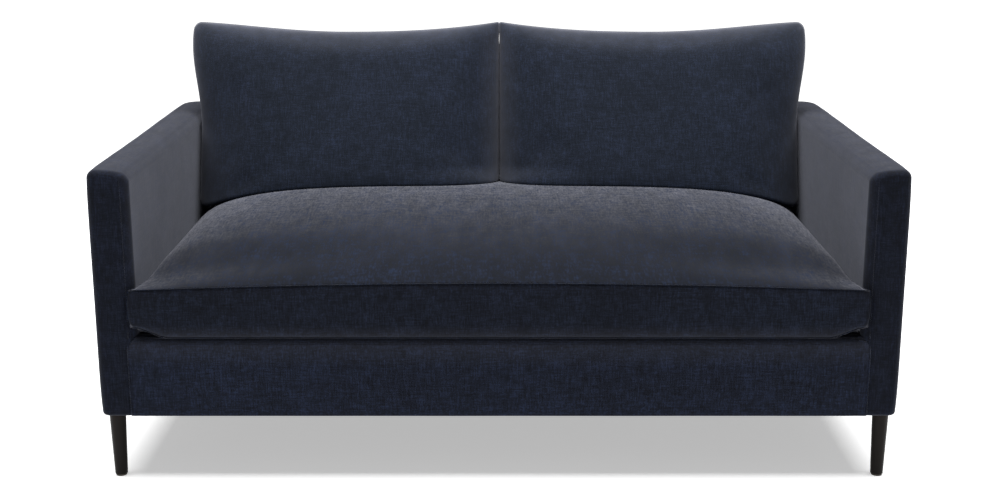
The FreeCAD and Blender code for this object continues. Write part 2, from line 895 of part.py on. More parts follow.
def check():
    """Stop if any object failed or any piece has no sound shape."""
    for item in document.Objects:
        if "Invalid" in item.State or "Error" in item.State:
            raise RuntimeError(f"{item.Label} failed: {item.State}")
    for piece in subparts:
        if piece.Shape.isNull() or not piece.Shape.isValid():
            raise RuntimeError(f"{piece.Label} has no valid shape")
        if not piece.Shape.Solids or piece.Shape.Volume <= 0:
            raise RuntimeError(f"{piece.Label} has no solid")


def export():
    os.makedirs("parts", exist_ok=True)
    for piece in subparts:
        piece.Shape.exportStep(f"parts/{piece.Label}.step")
        print(f"{piece.Label}: {len(piece.Shape.Solids)} solid(s), {piece.Shape.Volume / 1000:.1f} cm3")


build()
document.recompute()
check()
export()
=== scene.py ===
# %% [markdown]
# # A two-seat sofa in woven chenille
#
# This lesson dresses a finished frame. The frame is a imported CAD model: timber, springs,
# webbing, bolts and legs, each part already in its place. On top of it we make what an
# upholsterer makes: arm covers, a front border, a back, a bench seat cushion and two
# back cushions, all in one dark navy chenille.

# %% Load the frame
import math

import bmesh
import bpy
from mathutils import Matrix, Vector, noise


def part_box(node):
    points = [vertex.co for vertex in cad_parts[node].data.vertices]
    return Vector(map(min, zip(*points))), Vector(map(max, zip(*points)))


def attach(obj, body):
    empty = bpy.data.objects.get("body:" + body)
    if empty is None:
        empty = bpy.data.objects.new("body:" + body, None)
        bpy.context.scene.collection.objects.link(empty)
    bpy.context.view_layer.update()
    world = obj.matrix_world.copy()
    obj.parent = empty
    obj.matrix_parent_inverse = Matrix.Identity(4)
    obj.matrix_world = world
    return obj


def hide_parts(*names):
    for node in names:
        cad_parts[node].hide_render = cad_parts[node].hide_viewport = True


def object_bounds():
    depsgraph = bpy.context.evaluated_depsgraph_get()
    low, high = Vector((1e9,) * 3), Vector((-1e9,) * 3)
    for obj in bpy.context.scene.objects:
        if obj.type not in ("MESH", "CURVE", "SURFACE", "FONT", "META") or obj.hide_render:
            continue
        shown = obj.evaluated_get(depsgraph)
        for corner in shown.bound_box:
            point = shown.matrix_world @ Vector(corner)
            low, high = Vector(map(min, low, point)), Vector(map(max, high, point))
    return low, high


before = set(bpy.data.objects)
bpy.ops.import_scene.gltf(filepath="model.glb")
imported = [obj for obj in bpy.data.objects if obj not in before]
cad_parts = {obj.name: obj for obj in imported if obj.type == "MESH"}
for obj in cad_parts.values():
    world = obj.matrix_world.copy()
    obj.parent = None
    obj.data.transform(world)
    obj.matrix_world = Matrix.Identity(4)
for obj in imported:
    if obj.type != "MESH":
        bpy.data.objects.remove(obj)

cad_low, cad_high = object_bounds()
print("frame:", len(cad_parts), "parts,", [round(v, 3) for v in cad_high - cad_low], "m")

# %% [markdown]
# ## Where everything is
#
# Every position comes from the frame, so the soft pieces land on the wood. The unit is the
# metre, +Z is up and the sofa faces -Y. Depth is counted from the front plane backwards.

# %% Places read from the frame
arm_low, arm_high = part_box("arm_cover_right")
border_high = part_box("front_cover")[1]
deck_low, deck_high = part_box("deck_cover")
seat_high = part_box("seat_cushion_cover")[1]
inside_low, inside_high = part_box("inside_back_cover")

MM = 0.001
FRONT = cad_low.y
REAR = cad_high.y
FLOOR = cad_low.z
ARM_INNER = arm_low.x
ARM_OUTER = arm_high.x
ARM_TOP = arm_high.z
BODY_BOTTOM = arm_low.z
DECK = deck_high.z
BACK_TOP = inside_high.z
print("arm inner face", round(ARM_INNER, 4), "deck", round(DECK, 4), "back top", round(BACK_TOP, 4))

# %% [markdown]
# ## Camera
#
# The sofa is looked at from chest height, nearly three metres in front of its middle,
# slightly downwards and through a normal lens.

# %% Camera
CAMERA_DISTANCE = 2.824
CAMERA_HEIGHT = 1.20
CAMERA_PITCH_DEG = 14.0
CAMERA_SIDE = 0.002
LENS_MM = 51.84

camera_data = bpy.data.cameras.new("camera")
camera_data.lens = LENS_MM
camera_data.sensor_width = 36
camera = bpy.data.objects.new("camera", camera_data)
bpy.context.scene.collection.objects.link(camera)
camera.location = (CAMERA_SIDE, FRONT - CAMERA_DISTANCE, FLOOR + CAMERA_HEIGHT)
camera.rotation_euler = (math.radians(90 - CAMERA_PITCH_DEG), 0, 0)
bpy.context.scene.camera = camera

# %% [markdown]
# ## Small helpers
#
# A piece is built in a bmesh, tidied, and written to one object that sits at the origin,
# so its place is in its mesh. The body it rides on decides what it moves with.


# %% Helpers for pieces
MERGE_DISTANCE = 0.02 * MM


def finish_mesh(bm, name, material, body, stands_for=()):
    """Merge doubles, turn the faces outwards and make the object."""
    bmesh.ops.remove_doubles(bm, verts=bm.verts, dist=MERGE_DISTANCE)
    bmesh.ops.recalc_face_normals(bm, faces=bm.faces)
    mesh = bpy.data.meshes.new(name)
    bm.to_mesh(mesh)
    bm.free()
    mesh.materials.append(material)
    mesh.shade_smooth()
    piece = bpy.data.objects.new(name, mesh)
    bpy.context.scene.collection.objects.link(piece)
    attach(piece, body)
    if stands_for:
        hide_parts(*stands_for)
    print(f"{name}: {len(mesh.polygons)} faces")
    return piece


def block(low, high):
    """A bmesh box between two corners."""
    bm = bmesh.new()
    bmesh.ops.create_cube(bm, size=1)
    size = Vector(high) - Vector(low)
    bmesh.ops.scale(bm, vec=size, verts=bm.verts)
    bmesh.ops.translate(bm, vec=Vector(low) + size / 2, verts=bm.verts)
    return bm


def edges_where(bm, test):
    """Edges whose two ends both pass a test on their place."""
    return [edge for edge in bm.edges if test(edge.verts[0].co) and test(edge.verts[1].co)]


def round_edges(bm, edges, radius, segments):
    """Round some edges over their padding."""
    bmesh.ops.bevel(
        bm, geom=list(set(edges)), offset=radius, offset_type="OFFSET", segments=segments,
        profile=0.5, affect="EDGES", material=-1, clamp_overlap=False,
    )


def slice_along(bm, axis, start, end, cell):
    """Cut the mesh into strips, so that it can be swelled smoothly."""
    count = max(1, round((end - start) / cell))
    normal = Vector((axis == 0, axis == 1, axis == 2))
    for index in range(1, count):
        place = normal * (start + (end - start) * index / count)
        geometry = bm.verts[:] + bm.edges[:] + bm.faces[:]
        bmesh.ops.bisect_plane(bm, geom=geometry, dist=1e-6, plane_co=place, plane_no=normal)


def slice_all(bm, low, high, cell):
    """Cut a block into cells on all three axes."""
    for axis in range(3):
        slice_along(bm, axis, low[axis], high[axis], cell)


def soft_noise(place, size, seed):
    """A slow, repeatable wobble between -1 and 1."""
    return noise.noise(Vector(place) / size + Vector((seed, seed * 0.7, -seed)))


def swell(bm, amount):
    """Move every vertex along its normal by amount(place, normal)."""
    bm.normal_update()
    moves = [(vert, vert.normal.copy() * amount(vert.co, vert.normal)) for vert in bm.verts]
    for vert, move in moves:
        vert.co += move


def lobe(value, low, high, power=2):
    """1 in the middle of a range and 0 at both ends."""
    share = (value - low) / (high - low)
    share = min(max(share, 0), 1)
    return 1 - abs(2 * share - 1) ** power


def smooth_step(value, low, high):
    """0 below a range, 1 above it, and an easy curve between."""
    share = min(max((value - low) / (high - low), 0), 1)
    return share * share * (3 - 2 * share)


# %% [markdown]
# ## Seams
#
# Where two panels of cloth are sewn together, the turned-in edges stand up as a thin ridge
# that catches the light. A ridge could be painted as a line, but then it has no shadow and
# is lost from the side. Here it is a fine round cord, half sunk in the cloth: a curve with
# a bevel, made a mesh and joined to its piece.

# %% Seam ridges
SEAM_RADIUS = 1.1 * MM


def add_seam(bm, points, closed=False, radius=SEAM_RADIUS):
    """Join a thin cord along points to a piece's mesh."""
    line = bpy.data.curves.new("seam", "CURVE")
    line.dimensions = "3D"
    line.bevel_depth = radius
    line.bevel_resolution = 1
    line.use_fill_caps = not closed
    spline = line.splines.new("POLY")
    spline.points.add(len(points) - 1)
    for control, point in zip(spline.points, points):
        control.co = (*point, 1)
    spline.use_cyclic_u = closed
    holder = bpy.data.objects.new("seam", line)
    ridge = bpy.data.meshes.new_from_object(holder)
    bm.from_mesh(ridge)
    bpy.data.objects.remove(holder)
    bpy.data.curves.remove(line)
    bpy.data.meshes.remove(ridge)


def steps(start, end, count):
    """Evenly spaced numbers from start to end."""
    return [start + (end - start) * index / count for index in range(count + 1)]


# %% [markdown]
# ## Stuffing
#
# A cushion is stiff along its seams and soft between them. Formulas give its main form, and
# Blender's cloth with a little air pressure gives the rest: the panel swells unevenly
# between the seams, which are pinned. The swelling is capped, so that the cushion keeps
# its place.

# %% Stuffing with cloth and pressure
STUFFING_FRAMES = 20
SMOOTHING_ROUNDS = 12


def smoothed(vert, moves, held):
    """Half of a vertex's own move and half of its neighbours' average."""
    if held[vert.index]:
        return moves[vert.index]
    around = [moves[edge.other_vert(vert).index] for edge in vert.link_edges]
    return moves[vert.index] * 0.5 + sum(around, Vector()) * (0.5 / len(around))


def stuff(bm, name, pinned, pressure, cap, allowed, full=False):
    """Swell a closed mesh by cloth pressure; allowed(place) pulls a point back in bounds.

    A full cushion keeps its corners: what the cloth would draw inwards stays out.
    """
    bmesh.ops.remove_doubles(bm, verts=bm.verts, dist=MERGE_DISTANCE)
    bmesh.ops.recalc_face_normals(bm, faces=bm.faces)
    bm.verts.index_update()
    mesh = bpy.data.meshes.new(f"{name}_bag")
    bm.to_mesh(mesh)
    bag = bpy.data.objects.new(f"{name}_bag", mesh)
    scene = bpy.context.scene
    scene.collection.objects.link(bag)
    pins = bag.vertex_groups.new(name="pins")
    pins.add([vert.index for vert in bm.verts if pinned(vert)], 1.0, "REPLACE")
    cloth = bag.modifiers.new("cloth", "CLOTH")
    cloth.settings.vertex_group_mass = "pins"
    cloth.settings.quality = 5
    cloth.settings.use_pressure = True
    cloth.settings.uniform_pressure_force = pressure
    cloth.settings.effector_weights.gravity = 0
    cloth.settings.tension_stiffness = 25
    cloth.settings.compression_stiffness = 25
    cloth.settings.shear_stiffness = 12
    cloth.settings.bending_stiffness = 1.5
    cloth.point_cache.frame_start = 1
    cloth.point_cache.frame_end = STUFFING_FRAMES
    for number in range(1, STUFFING_FRAMES + 1):
        scene.frame_set(number)
    swollen = bag.evaluated_get(bpy.context.evaluated_depsgraph_get()).data
    moves = [swollen.vertices[vert.index].co - vert.co for vert in bm.verts]
    furthest = max(move.length for move in moves)
    moves = [move * min(1, cap / max(move.length, 1e-9)) for move in moves]
    if full:
        bm.normal_update()
        moves = [
            move - vert.normal * min(move.dot(vert.normal), 0)
            for vert, move in zip(bm.verts, moves)
        ]
    held = [pinned(vert) for vert in bm.verts]
    for _ in range(SMOOTHING_ROUNDS):
        moves = [smoothed(vert, moves, held) for vert in bm.verts]
    for vert, move in zip(list(bm.verts), moves):
        vert.co = allowed(vert.co + move)
    scene.frame_set(1)
    bpy.data.objects.remove(bag)
    bpy.data.meshes.remove(mesh)
    print(f"{name}: swelled by up to {furthest * 1000:.1f} mm, capped at {cap * 1000:.0f} mm")


# %% [markdown]
# ## The chenille
#
# Chenille is woven from a soft, furry yarn. Seen square on it is deep navy, with short
# slubs and flecks where thicker yarn shows across and along. Seen at a glancing angle the
# pile catches light and turns grey, so edges and the flat tops look paler than the fronts.
# Two things give that glow: the shader's sheen, and a grey painted into the base colour as
# the view gets flatter, which is painted sheen. The flecks are three stretched noises, one
# for each direction a yarn can run, so the cloth needs no unwrapping; on a leaning panel
# they are tilted with it. Where the pile is combed flat they reach further along Y. Each
# part has its own copy of the cloth, painted paler or darker by how the light falls on it,
# and three have a band of painted light: on two edges that would catch the lamp, and where
# the back cushions shade each other.


# %% Material helpers
def linear(hex_colour):
    """An sRGB hex colour as the linear values that a shader works in."""
    channels = [int(hex_colour[i : i + 2], 16) / 255 for i in (0, 2, 4)]
    return [c / 12.92 if c <= 0.04045 else ((c + 0.055) / 1.055) ** 2.4 for c in channels] + [1]


def add_node(tree, kind, settings=None, inputs=None):
    """Add a node with its own settings, and set or link its inputs."""
    node = tree.nodes.new(kind)
    for key, value in (settings or {}).items():
        if key == "stops":
            elements = node.color_ramp.elements
            while len(elements) < len(value):
                elements.new(0.5)
            for element, (position, colour) in zip(elements, value):
                element.position = position
                element.color = linear(colour)
        else:
            setattr(node, key, value)
    for key, value in (inputs or {}).items():
        if isinstance(value, bpy.types.NodeSocket):
            tree.links.new(value, node.inputs[key])
        else:
            node.inputs[key].default_value = value
    return node


def new_material(name):
    """An empty material and its node tree."""
    material = bpy.data.materials.new(name)
    material.use_nodes = True
    material.node_tree.nodes.clear()
    return material, material.node_tree


def surface(tree, inputs):
    """Finish a material with its principled shader and output."""
    shader = add_node(tree, "ShaderNodeBsdfPrincipled", {}, inputs)
    add_node(tree, "ShaderNodeOutputMaterial", {}, {"Surface": shader.outputs[0]})


def object_place(tree, sizes_mm=(1000, 1000, 1000), tilt_deg=0):
    """Object coordinates, tilted about X, then in units of a size in mm on each axis."""
    place = add_node(tree, "ShaderNodeTexCoord").outputs["Object"]
    if tilt_deg:
        tilt = {"Vector": place, "Rotation": (math.radians(tilt_deg), 0, 0)}
        place = add_node(tree, "ShaderNodeMapping", {}, tilt).outputs[0]
    stretch = [1 / (size * MM) for size in sizes_mm]
    return add_node(tree, "ShaderNodeMapping", {}, {"Vector": place, "Scale": stretch}).outputs[0]


def weighted_sum(tree, parts):
    """Add values, each times its own weight; parts is a list of (value, weight)."""
    total = None
    for value, weight in parts:
        share = add_node(tree, "ShaderNodeMath", {"operation": "MULTIPLY"}, {0: value, 1: weight})
        if total is None:
            total = share.outputs[0]
        else:
            added = {0: total, 1: share.outputs[0]}
            total = add_node(tree, "ShaderNodeMath", {"operation": "ADD"}, added).outputs[0]
    return total


# %% Chenille
# The yarn is about 2.5 mm thick, with thick places an inch long and specks as wide as one
# yarn. The single hairs of its pile are too fine to show, so the sheen stands for them.
SLUB_ACROSS_MM = 2.6
SLUB_ALONG_MM = 26.0
FLECK_MM = 2.2
BLOTCH_MM = 30.0
CLOUD_MM = 160.0
BUMP_MM = 0.8
# How much more grey a band of painted light mixes into the cloth at its brightest.
PAINTED_LIGHT_SHARE = 0.040


def slubs(tree, axis, tilt_deg, reach, coarse):
    """Streaks that run along one axis, as thick places in a yarn do."""
    sizes = [SLUB_ACROSS_MM * coarse] * 3
    sizes[axis] = SLUB_ALONG_MM
    sizes[1] *= reach
    place = object_place(tree, sizes, tilt_deg)
    streak = {"Vector": place, "Scale": 1.0, "Detail": 2.0, "Roughness": 0.55}
    return add_node(tree, "ShaderNodeTexNoise", {}, streak).outputs["Fac"]


def painted_light_band(tree, axis, low, high):
    """A band of painted light that fades in from low to high along one axis."""
    place = add_node(tree, "ShaderNodeSeparateXYZ", {}, {0: object_place(tree)}).outputs[axis]
    size = add_node(tree, "ShaderNodeMath", {"operation": "ABSOLUTE"}, {0: place}).outputs[0]
    band = {"Value": size, "From Min": low, "From Max": high, "To Min": 0.0, "To Max": PAINTED_LIGHT_SHARE}
    return add_node(tree, "ShaderNodeMapRange", {}, band).outputs[0]


def chenille(
    name, dark, middle, light, painted_sheen=0.42, sharpness=4.5, sheen=0.20,
    uneven=0.9, tilt_deg=0, reach=1.0, coarse=1.0, painted_light=None,
):
    """The cloth in one lit or shaded copy.

    dark, middle and light are its yarns. The next two numbers say how much grey is painted
    into the base colour as the view grazes the cloth, and how sharply: a painted sheen. sheen
    is the shader's own sheen, uneven how much the painted sheen varies with the weave,
    tilt_deg how the cloth leans, and reach how far its pile is combed along Y. A panel that
    lies almost edge on to the eye has its yarn drawn coarse times too thick, because the true
    one wouldn't show. The last argument gives an axis and a range for a band of painted light.
    """
    material, tree = new_material(name)
    spots = []
    kinds = ((FLECK_MM, 2.0, 0.7), (BLOTCH_MM, 3.0, 0.6), (CLOUD_MM, 2.0, 0.5))
    for size, detail, roughness in kinds:
        place = object_place(tree, (size, size * reach, size))
        spot = {"Vector": place, "Scale": 1.0, "Detail": detail, "Roughness": roughness}
        spots.append(add_node(tree, "ShaderNodeTexNoise", {}, spot).outputs["Fac"])
    fleck, blotch, cloud = spots
    across, back, up = [slubs(tree, axis, tilt_deg, reach, coarse) for axis in range(3)]
    weave = weighted_sum(tree, [(across, 0.27), (back, 0.27), (up, 0.34), (fleck, 0.12)])
    shade = weighted_sum(tree, [(weave, 0.80), (blotch, 0.13), (cloud, 0.07)])
    yarns = {"stops": [(0.40, dark), (0.50, middle), (0.60, light)]}
    cloth = add_node(tree, "ShaderNodeValToRGB", yarns, {"Fac": shade}).outputs[0]
    # Painted sheen: a grey mixed into the base colour as the view grazes the cloth, varied by the
    # weave, plus any band of painted light.
    glance = add_node(tree, "ShaderNodeLayerWeight", {}, {"Blend": 0.5}).outputs["Facing"]
    sharp = {0: glance, 1: sharpness}
    painted_glance = add_node(tree, "ShaderNodeMath", {"operation": "POWER"}, sharp).outputs[0]
    both = {0: painted_glance, 1: weave}
    woven = add_node(tree, "ShaderNodeMath", {"operation": "MULTIPLY"}, both).outputs[0]
    wear_and_painted_sheen = weighted_sum(tree, [(painted_glance, painted_sheen + uneven / 2), (woven, -uneven)])
    if painted_light:
        wear_and_painted_sheen = weighted_sum(tree, [(wear_and_painted_sheen, 1.0), (painted_light_band(tree, *painted_light), 1.0)])
    # The greys of the painted sheen.
    pile = {"stops": [(0.35, "7b7c84"), (0.65, "868791")]}
    painted_sheen_colour = add_node(tree, "ShaderNodeValToRGB", pile, {"Fac": blotch}).outputs[0]
    mix = {0: wear_and_painted_sheen, 6: cloth, 7: painted_sheen_colour}
    mixed = add_node(tree, "ShaderNodeMix", {"data_type": "RGBA"}, mix).outputs[2]
    relief = {"Strength": 0.45, "Distance": BUMP_MM * MM, "Height": weave}
    bump = add_node(tree, "ShaderNodeBump", {}, relief).outputs[0]
    surface(tree, {
        "Base Color": mixed, "Normal": bump, "Roughness": 0.95, "Specular IOR Level": 0.12,
        "Sheen Weight": sheen, "Sheen Roughness": 0.30, "Sheen Tint": linear("bcbfcd"),
    })
    return material


# A shaded copy for the arms and the fixed back, painted dark for the arms' fronts, which the
# lamp overhead hardly reaches: deep navy seen square on, and a soft grey glow on the arms'
# long faces, mostly the shader's sheen with a little painted sheen.
navy = chenille(
    "chenille woven navy, shaded copy", "080a0f", "0e111a", "191e2c",
    painted_sheen=0.15, sharpness=2.5, sheen=0.41, uneven=0.9, reach=1.7,
)
# A paler, bluer copy on the seat's border strip, painted lighter than the arms' fronts,
# with a painted highlight along its lower seam, where it meets the rail.
navy_strip = chenille(
    "chenille woven navy, paler copy for the strip", "090b11", "11141d", "1c2231",
    painted_light=("Z", DECK + 30 * MM, DECK - 4 * MM),
)
# A paler copy on the front border, with painted light growing towards its top edge, where
# the rolled rail faces the lamp overhead.
navy_border = chenille(
    "chenille woven navy, rubbed along the rail", "0b0d14", "141823", "1f2639",
    painted_light=("Z", DECK - 60 * MM, DECK - 8 * MM),
)
# A darker copy for the seat with strong painted sheen: darkest at the front, which faces the
# eye, and painted grey over its crown, which the view grazes. Its pile is combed to the
# front, so its flecks run long along Y.
navy_seat = chenille(
    "chenille woven navy, darker copy with painted sheen", "04070d", "090d17", "131b2b",
    painted_sheen=0.56, sharpness=5.5, sheen=0.10, uneven=3.6, tilt_deg=-10, reach=2.6, coarse=1.5,
)
# A paler copy for the back cushions: painted sheen greys them gently towards their rolled
# sides, and a band of painted light brightens them most at their inner edges, where the two
# shade each other.
navy_pillow = chenille(
    "chenille woven navy, paler copy for the cushions", "0b1018", "131822", "1d2434",
    painted_sheen=0.40, sharpness=1.8, sheen=0.16, tilt_deg=24, painted_light=("X", 55 * MM, 4 * MM),
)
# Deck cloth: the same weave in paler yarns, painted light for the shade it lies in, seen
# when the seat is out.
deck_cloth = chenille("chenille deck cloth", "10131b", "191d28", "262a38")
print("chenille: six cuts, the plainest with", len(navy.node_tree.nodes), "nodes")

# %% [markdown]
# ## The harder materials
#
# Under the cloth there is timber, steel, webbing and board, and below it four dark turned
# legs. Each is a small recipe of noise at the real size of its grain, weave or wear.

# %% Wood, metal, board, webbing and felt
# Rings and bands of sawn timber, each across and then along the grain, dull patches and
# scratches of plating, fuzz of jute and lumps of felt. Real scratches and hairs are finer:
# these are as coarse as they need to be to show.
GRAIN_MM = (3.8, 110)
BAND_MM = (26, 500)
PATCH_MM = 6.2
SCRATCH_MM = (1.1, 17)
FUZZ_MM = 1.1
LUMP_MM = 40


def along_axis(sizes, axis):
    """A size across the grain on two axes, and along it on the third."""
    across, along = sizes
    return [along if index == axis else across for index in range(3)]


def wood(name, stops, axis, roughness, gloss):
    """Wood whose grain runs along one axis."""
    material, tree = new_material(name)
    place = object_place(tree, along_axis(GRAIN_MM, axis))
    fine = {"Vector": place, "Scale": 1.0, "Detail": 4.0, "Roughness": 0.62}
    grain = add_node(tree, "ShaderNodeTexNoise", {}, fine).outputs["Fac"]
    wide = {"Vector": object_place(tree, along_axis(BAND_MM, axis)), "Scale": 1.0, "Detail": 2.0}
    bands = add_node(tree, "ShaderNodeTexNoise", {}, wide).outputs["Fac"]
    figure = weighted_sum(tree, [(grain, 0.6), (bands, 0.4)])
    colour = add_node(tree, "ShaderNodeValToRGB", {"stops": stops}, {"Fac": figure}).outputs[0]
    wear_and_painted_sheen = {
        "Value": grain, "From Min": 0.3, "From Max": 0.7,
        "To Min": roughness - 0.08, "To Max": roughness + 0.08,
    }
    relief = {"Strength": 0.3, "Distance": 0.08 * MM, "Height": grain}
    surface(tree, {
        "Base Color": colour, "Specular IOR Level": gloss,
        "Roughness": add_node(tree, "ShaderNodeMapRange", {}, wear_and_painted_sheen).outputs[0],
        "Normal": add_node(tree, "ShaderNodeBump", {}, relief).outputs[0],
    })
    return material


def metal(name, bright, dull, roughness):
    """Plated or drawn steel with faint scratches and dull patches."""
    material, tree = new_material(name)
    place = object_place(tree, [PATCH_MM] * 3)
    spot = {"Vector": place, "Scale": 1.0, "Detail": 3.0, "Roughness": 0.6}
    patches = add_node(tree, "ShaderNodeTexNoise", {}, spot).outputs["Fac"]
    line = {"Vector": object_place(tree, along_axis(SCRATCH_MM, 2)), "Scale": 1.0, "Detail": 2.0}
    scratches = add_node(tree, "ShaderNodeTexNoise", {}, line).outputs["Fac"]
    plating = {"stops": [(0.35, dull), (0.65, bright)]}
    colour = add_node(tree, "ShaderNodeValToRGB", plating, {"Fac": patches}).outputs[0]
    wear_and_painted_sheen = {
        "Value": patches, "From Min": 0.3, "From Max": 0.7,
        "To Min": roughness - 0.1, "To Max": roughness + 0.12,
    }
    relief = {"Strength": 0.15, "Distance": 0.02 * MM, "Height": scratches}
    surface(tree, {
        "Base Color": colour, "Metallic": 1.0,
        "Roughness": add_node(tree, "ShaderNodeMapRange", {}, wear_and_painted_sheen).outputs[0],
        "Normal": add_node(tree, "ShaderNodeBump", {}, relief).outputs[0],
    })
    return material


def plain_weave(name, dark, light, thread_mm):
    """Crossed threads: the higher of two waves shows, as in a plain weave."""
    material, tree = new_material(name)
    place = object_place(tree, [thread_mm / math.pi] * 3)
    axes = add_node(tree, "ShaderNodeSeparateXYZ", {}, {0: place}).outputs
    crossed = 0.0
    for axis in axes:
        wave = add_node(tree, "ShaderNodeMath", {"operation": "SINE"}, {0: axis}).outputs[0]
        thread = add_node(tree, "ShaderNodeMath", {"operation": "ABSOLUTE"}, {0: wave}).outputs[0]
        higher = {0: thread, 1: crossed}
        crossed = add_node(tree, "ShaderNodeMath", {"operation": "MAXIMUM"}, higher).outputs[0]
    loose = object_place(tree, [FUZZ_MM] * 3)
    hair = {"Vector": loose, "Scale": 1.0, "Detail": 3.0, "Roughness": 0.6}
    fuzz = add_node(tree, "ShaderNodeTexNoise", {}, hair).outputs["Fac"]
    shade = weighted_sum(tree, [(crossed, 0.55), (fuzz, 0.45)])
    jute = {"stops": [(0.35, dark), (0.85, light)]}
    relief = {"Strength": 0.5, "Distance": 0.3 * MM, "Height": shade}
    surface(tree, {
        "Base Color": add_node(tree, "ShaderNodeValToRGB", jute, {"Fac": shade}).outputs[0],
        "Roughness": 0.9, "Specular IOR Level": 0.2,
        "Normal": add_node(tree, "ShaderNodeBump", {}, relief).outputs[0],
    })
    return material


def matted(name, dark, light, fibre_mm, roughness=0.95):
    """Felt, board or non-woven cloth: matted fibres with no direction."""
    material, tree = new_material(name)
    place = object_place(tree, [fibre_mm] * 3)
    hair = {"Vector": place, "Scale": 1.0, "Detail": 5.0, "Roughness": 0.75}
    fibres = add_node(tree, "ShaderNodeTexNoise", {}, hair).outputs["Fac"]
    cloud = {"Vector": object_place(tree, [LUMP_MM] * 3), "Scale": 1.0, "Detail": 2.0}
    lumps = add_node(tree, "ShaderNodeTexNoise", {}, cloud).outputs["Fac"]
    shade = weighted_sum(tree, [(fibres, 0.75), (lumps, 0.25)])
    mat = {"stops": [(0.38, dark), (0.62, light)]}
    relief = {"Strength": 0.5, "Distance": 0.25 * MM, "Height": fibres}
    surface(tree, {
        "Base Color": add_node(tree, "ShaderNodeValToRGB", mat, {"Fac": shade}).outputs[0],
        "Roughness": roughness, "Specular IOR Level": 0.2,
        "Normal": add_node(tree, "ShaderNodeBump", {}, relief).outputs[0],
    })
    return material


# Beech stained nearly black: the grain just shows, and satin lacquer gives one long highlight.
LEG_STAIN = [(0.30, "070504"), (0.55, "0f0a07"), (0.75, "19110c")]
turned_leg = wood("beech stained dark, satin lacquer", LEG_STAIN, 2, 0.40, 0.10)
# Planed pine for the frame: pale straw with darker bands, so an open frame reads as timber.
PINE = [(0.30, "a87c4c"), (0.52, "cda672"), (0.74, "e2c79a")]
timber = [
    wood(f"planed pine, grain along {name}", PINE, axis, 0.62, 0.3)
    for axis, name in enumerate("XYZ")
]
# Zinc plate on bolts, inserts and clips: bright and cool, dulled in patches.
zinc = metal("steel zinc plated", "c9cbc8", "9a9c9b", 0.34)
# Oiled spring wire: dark steel that still picks up the light on its bends.
wire = metal("spring steel drawn and oiled", "6d6a66", "3f3c3a", 0.42)
# Jute webbing: coarse crossed threads that can be counted up close.
webbing = plain_weave("jute webbing", "5b4327", "b49a6c", 2.6)
# Non-woven dust cloth: a flat black underside with a faint matted tooth.
dust_cloth = matted("black non-woven dust cloth", "08080a", "1b1b1e", 0.9)
# Pressed board behind the back: grey-brown fibres with no direction.
board = matted("grey pressed board", "77695a", "9c8c78", 0.8, 0.85)
# Wool felt under the legs: soft, grey-brown and without shine.
felt = matted("wool felt glide", "3a3733", "6a655d", 0.6)


def dress(material, *names):
    """Give one material to frame parts that stay in view."""
    for name in names:
        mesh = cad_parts[name].data
        mesh.materials.clear()
        mesh.materials.append(material)


sides = ("left", "right")
corners = [f"{end}_{side}" for end in ("front", "rear") for side in sides]
dress(turned_leg, *[f"leg_{corner}" for corner in corners])
dress(felt, *[f"leg_glide_{corner}" for corner in corners])
dress(timber[0], "front_rail", "back_spring_rail", "rear_bottom_rail")
dress(timber[0], "back_tack_rail", "back_top_rail")
dress(timber[1], "centre_stretcher", *[f"side_rail_{side}" for side in sides])
dress(timber[1], *[f"arm_top_rail_{side}" for side in sides])
dress(timber[2], "back_centre_stile", "back_stile_foot", *[f"back_post_{side}" for side in sides])
dress(timber[2], *[f"arm_{end}_post_{side}" for end in ("front", "rear") for side in sides])
dress(timber[2], *[f"corner_block_{corner}" for corner in corners])
dress(zinc, "frame_bolts", "hanger_bolts", "leg_inserts", "spring_clips")
dress(wire, *[f"seat_springs_{side}" for side in sides])
dress(webbing, "back_webbing")
dress(board, "back_board")
dress(dust_cloth, "dust_cover")
print("frame parts dressed")

# %% [markdown]
# ## Arms
#
# Each arm is a slim box wrapped in foam and cloth. The front is a narrow panel sewn to a
# long outer panel and a softer inner one, and the outside rear corner is generously
# rounded. A box with its edges bevelled by different radii gives that shape; a slight
# swell keeps the long sides from looking like board.

# %% Arms
REAR_CORNER = 76 * MM
ARM_EDGE = 15 * MM
ARM_INNER_EDGE = 24 * MM
ARM_FOOT_EDGE = 7 * MM
ARM_CELL = 24 * MM
TOP_FALL = 15 * MM
FRONT_FALL = 10 * MM
REAR_RISE = 7 * MM
RISE_START = 200 * MM
EASE_REACH = 60 * MM
EASE_OVER_DECK = 40 * MM
ARM_SIDE_SWELL = 7 * MM
ARM_TOP_SWELL = 3 * MM
ARM_WOBBLE = 0.5 * MM
WOBBLE_START = 80 * MM
ARM_SEAM_RADIUS = 0.6 * MM
ARM_SEAM_TURN = 9 * MM
SEAM_START = 4 * MM
SEAM_INSET = 0.62
SEAM_SINK = 0.075
NEAR = 0.5 * MM


def near(value, target):
    """Whether two places are the same to within a hair."""
    return abs(value - target) < NEAR


def arm_swell(place, normal):
    """The outer side and the top stand a little proud in their middles."""
    along = lobe(place.y, FRONT - ARM_EDGE, REAR, 8)
    upward = lobe(place.z, BODY_BOTTOM - ARM_EDGE, ARM_TOP + ARM_EDGE, 8)
    outer = max(normal.x, 0) * (0.4 + 0.6 * along) * upward * ARM_SIDE_SWELL
    top = max(normal.z, 0) * along * ARM_TOP_SWELL
    behind = smooth_step(place.y, FRONT, FRONT + WOBBLE_START)
    return outer + top + soft_noise(place, 0.09, 3.1) * ARM_WOBBLE * behind


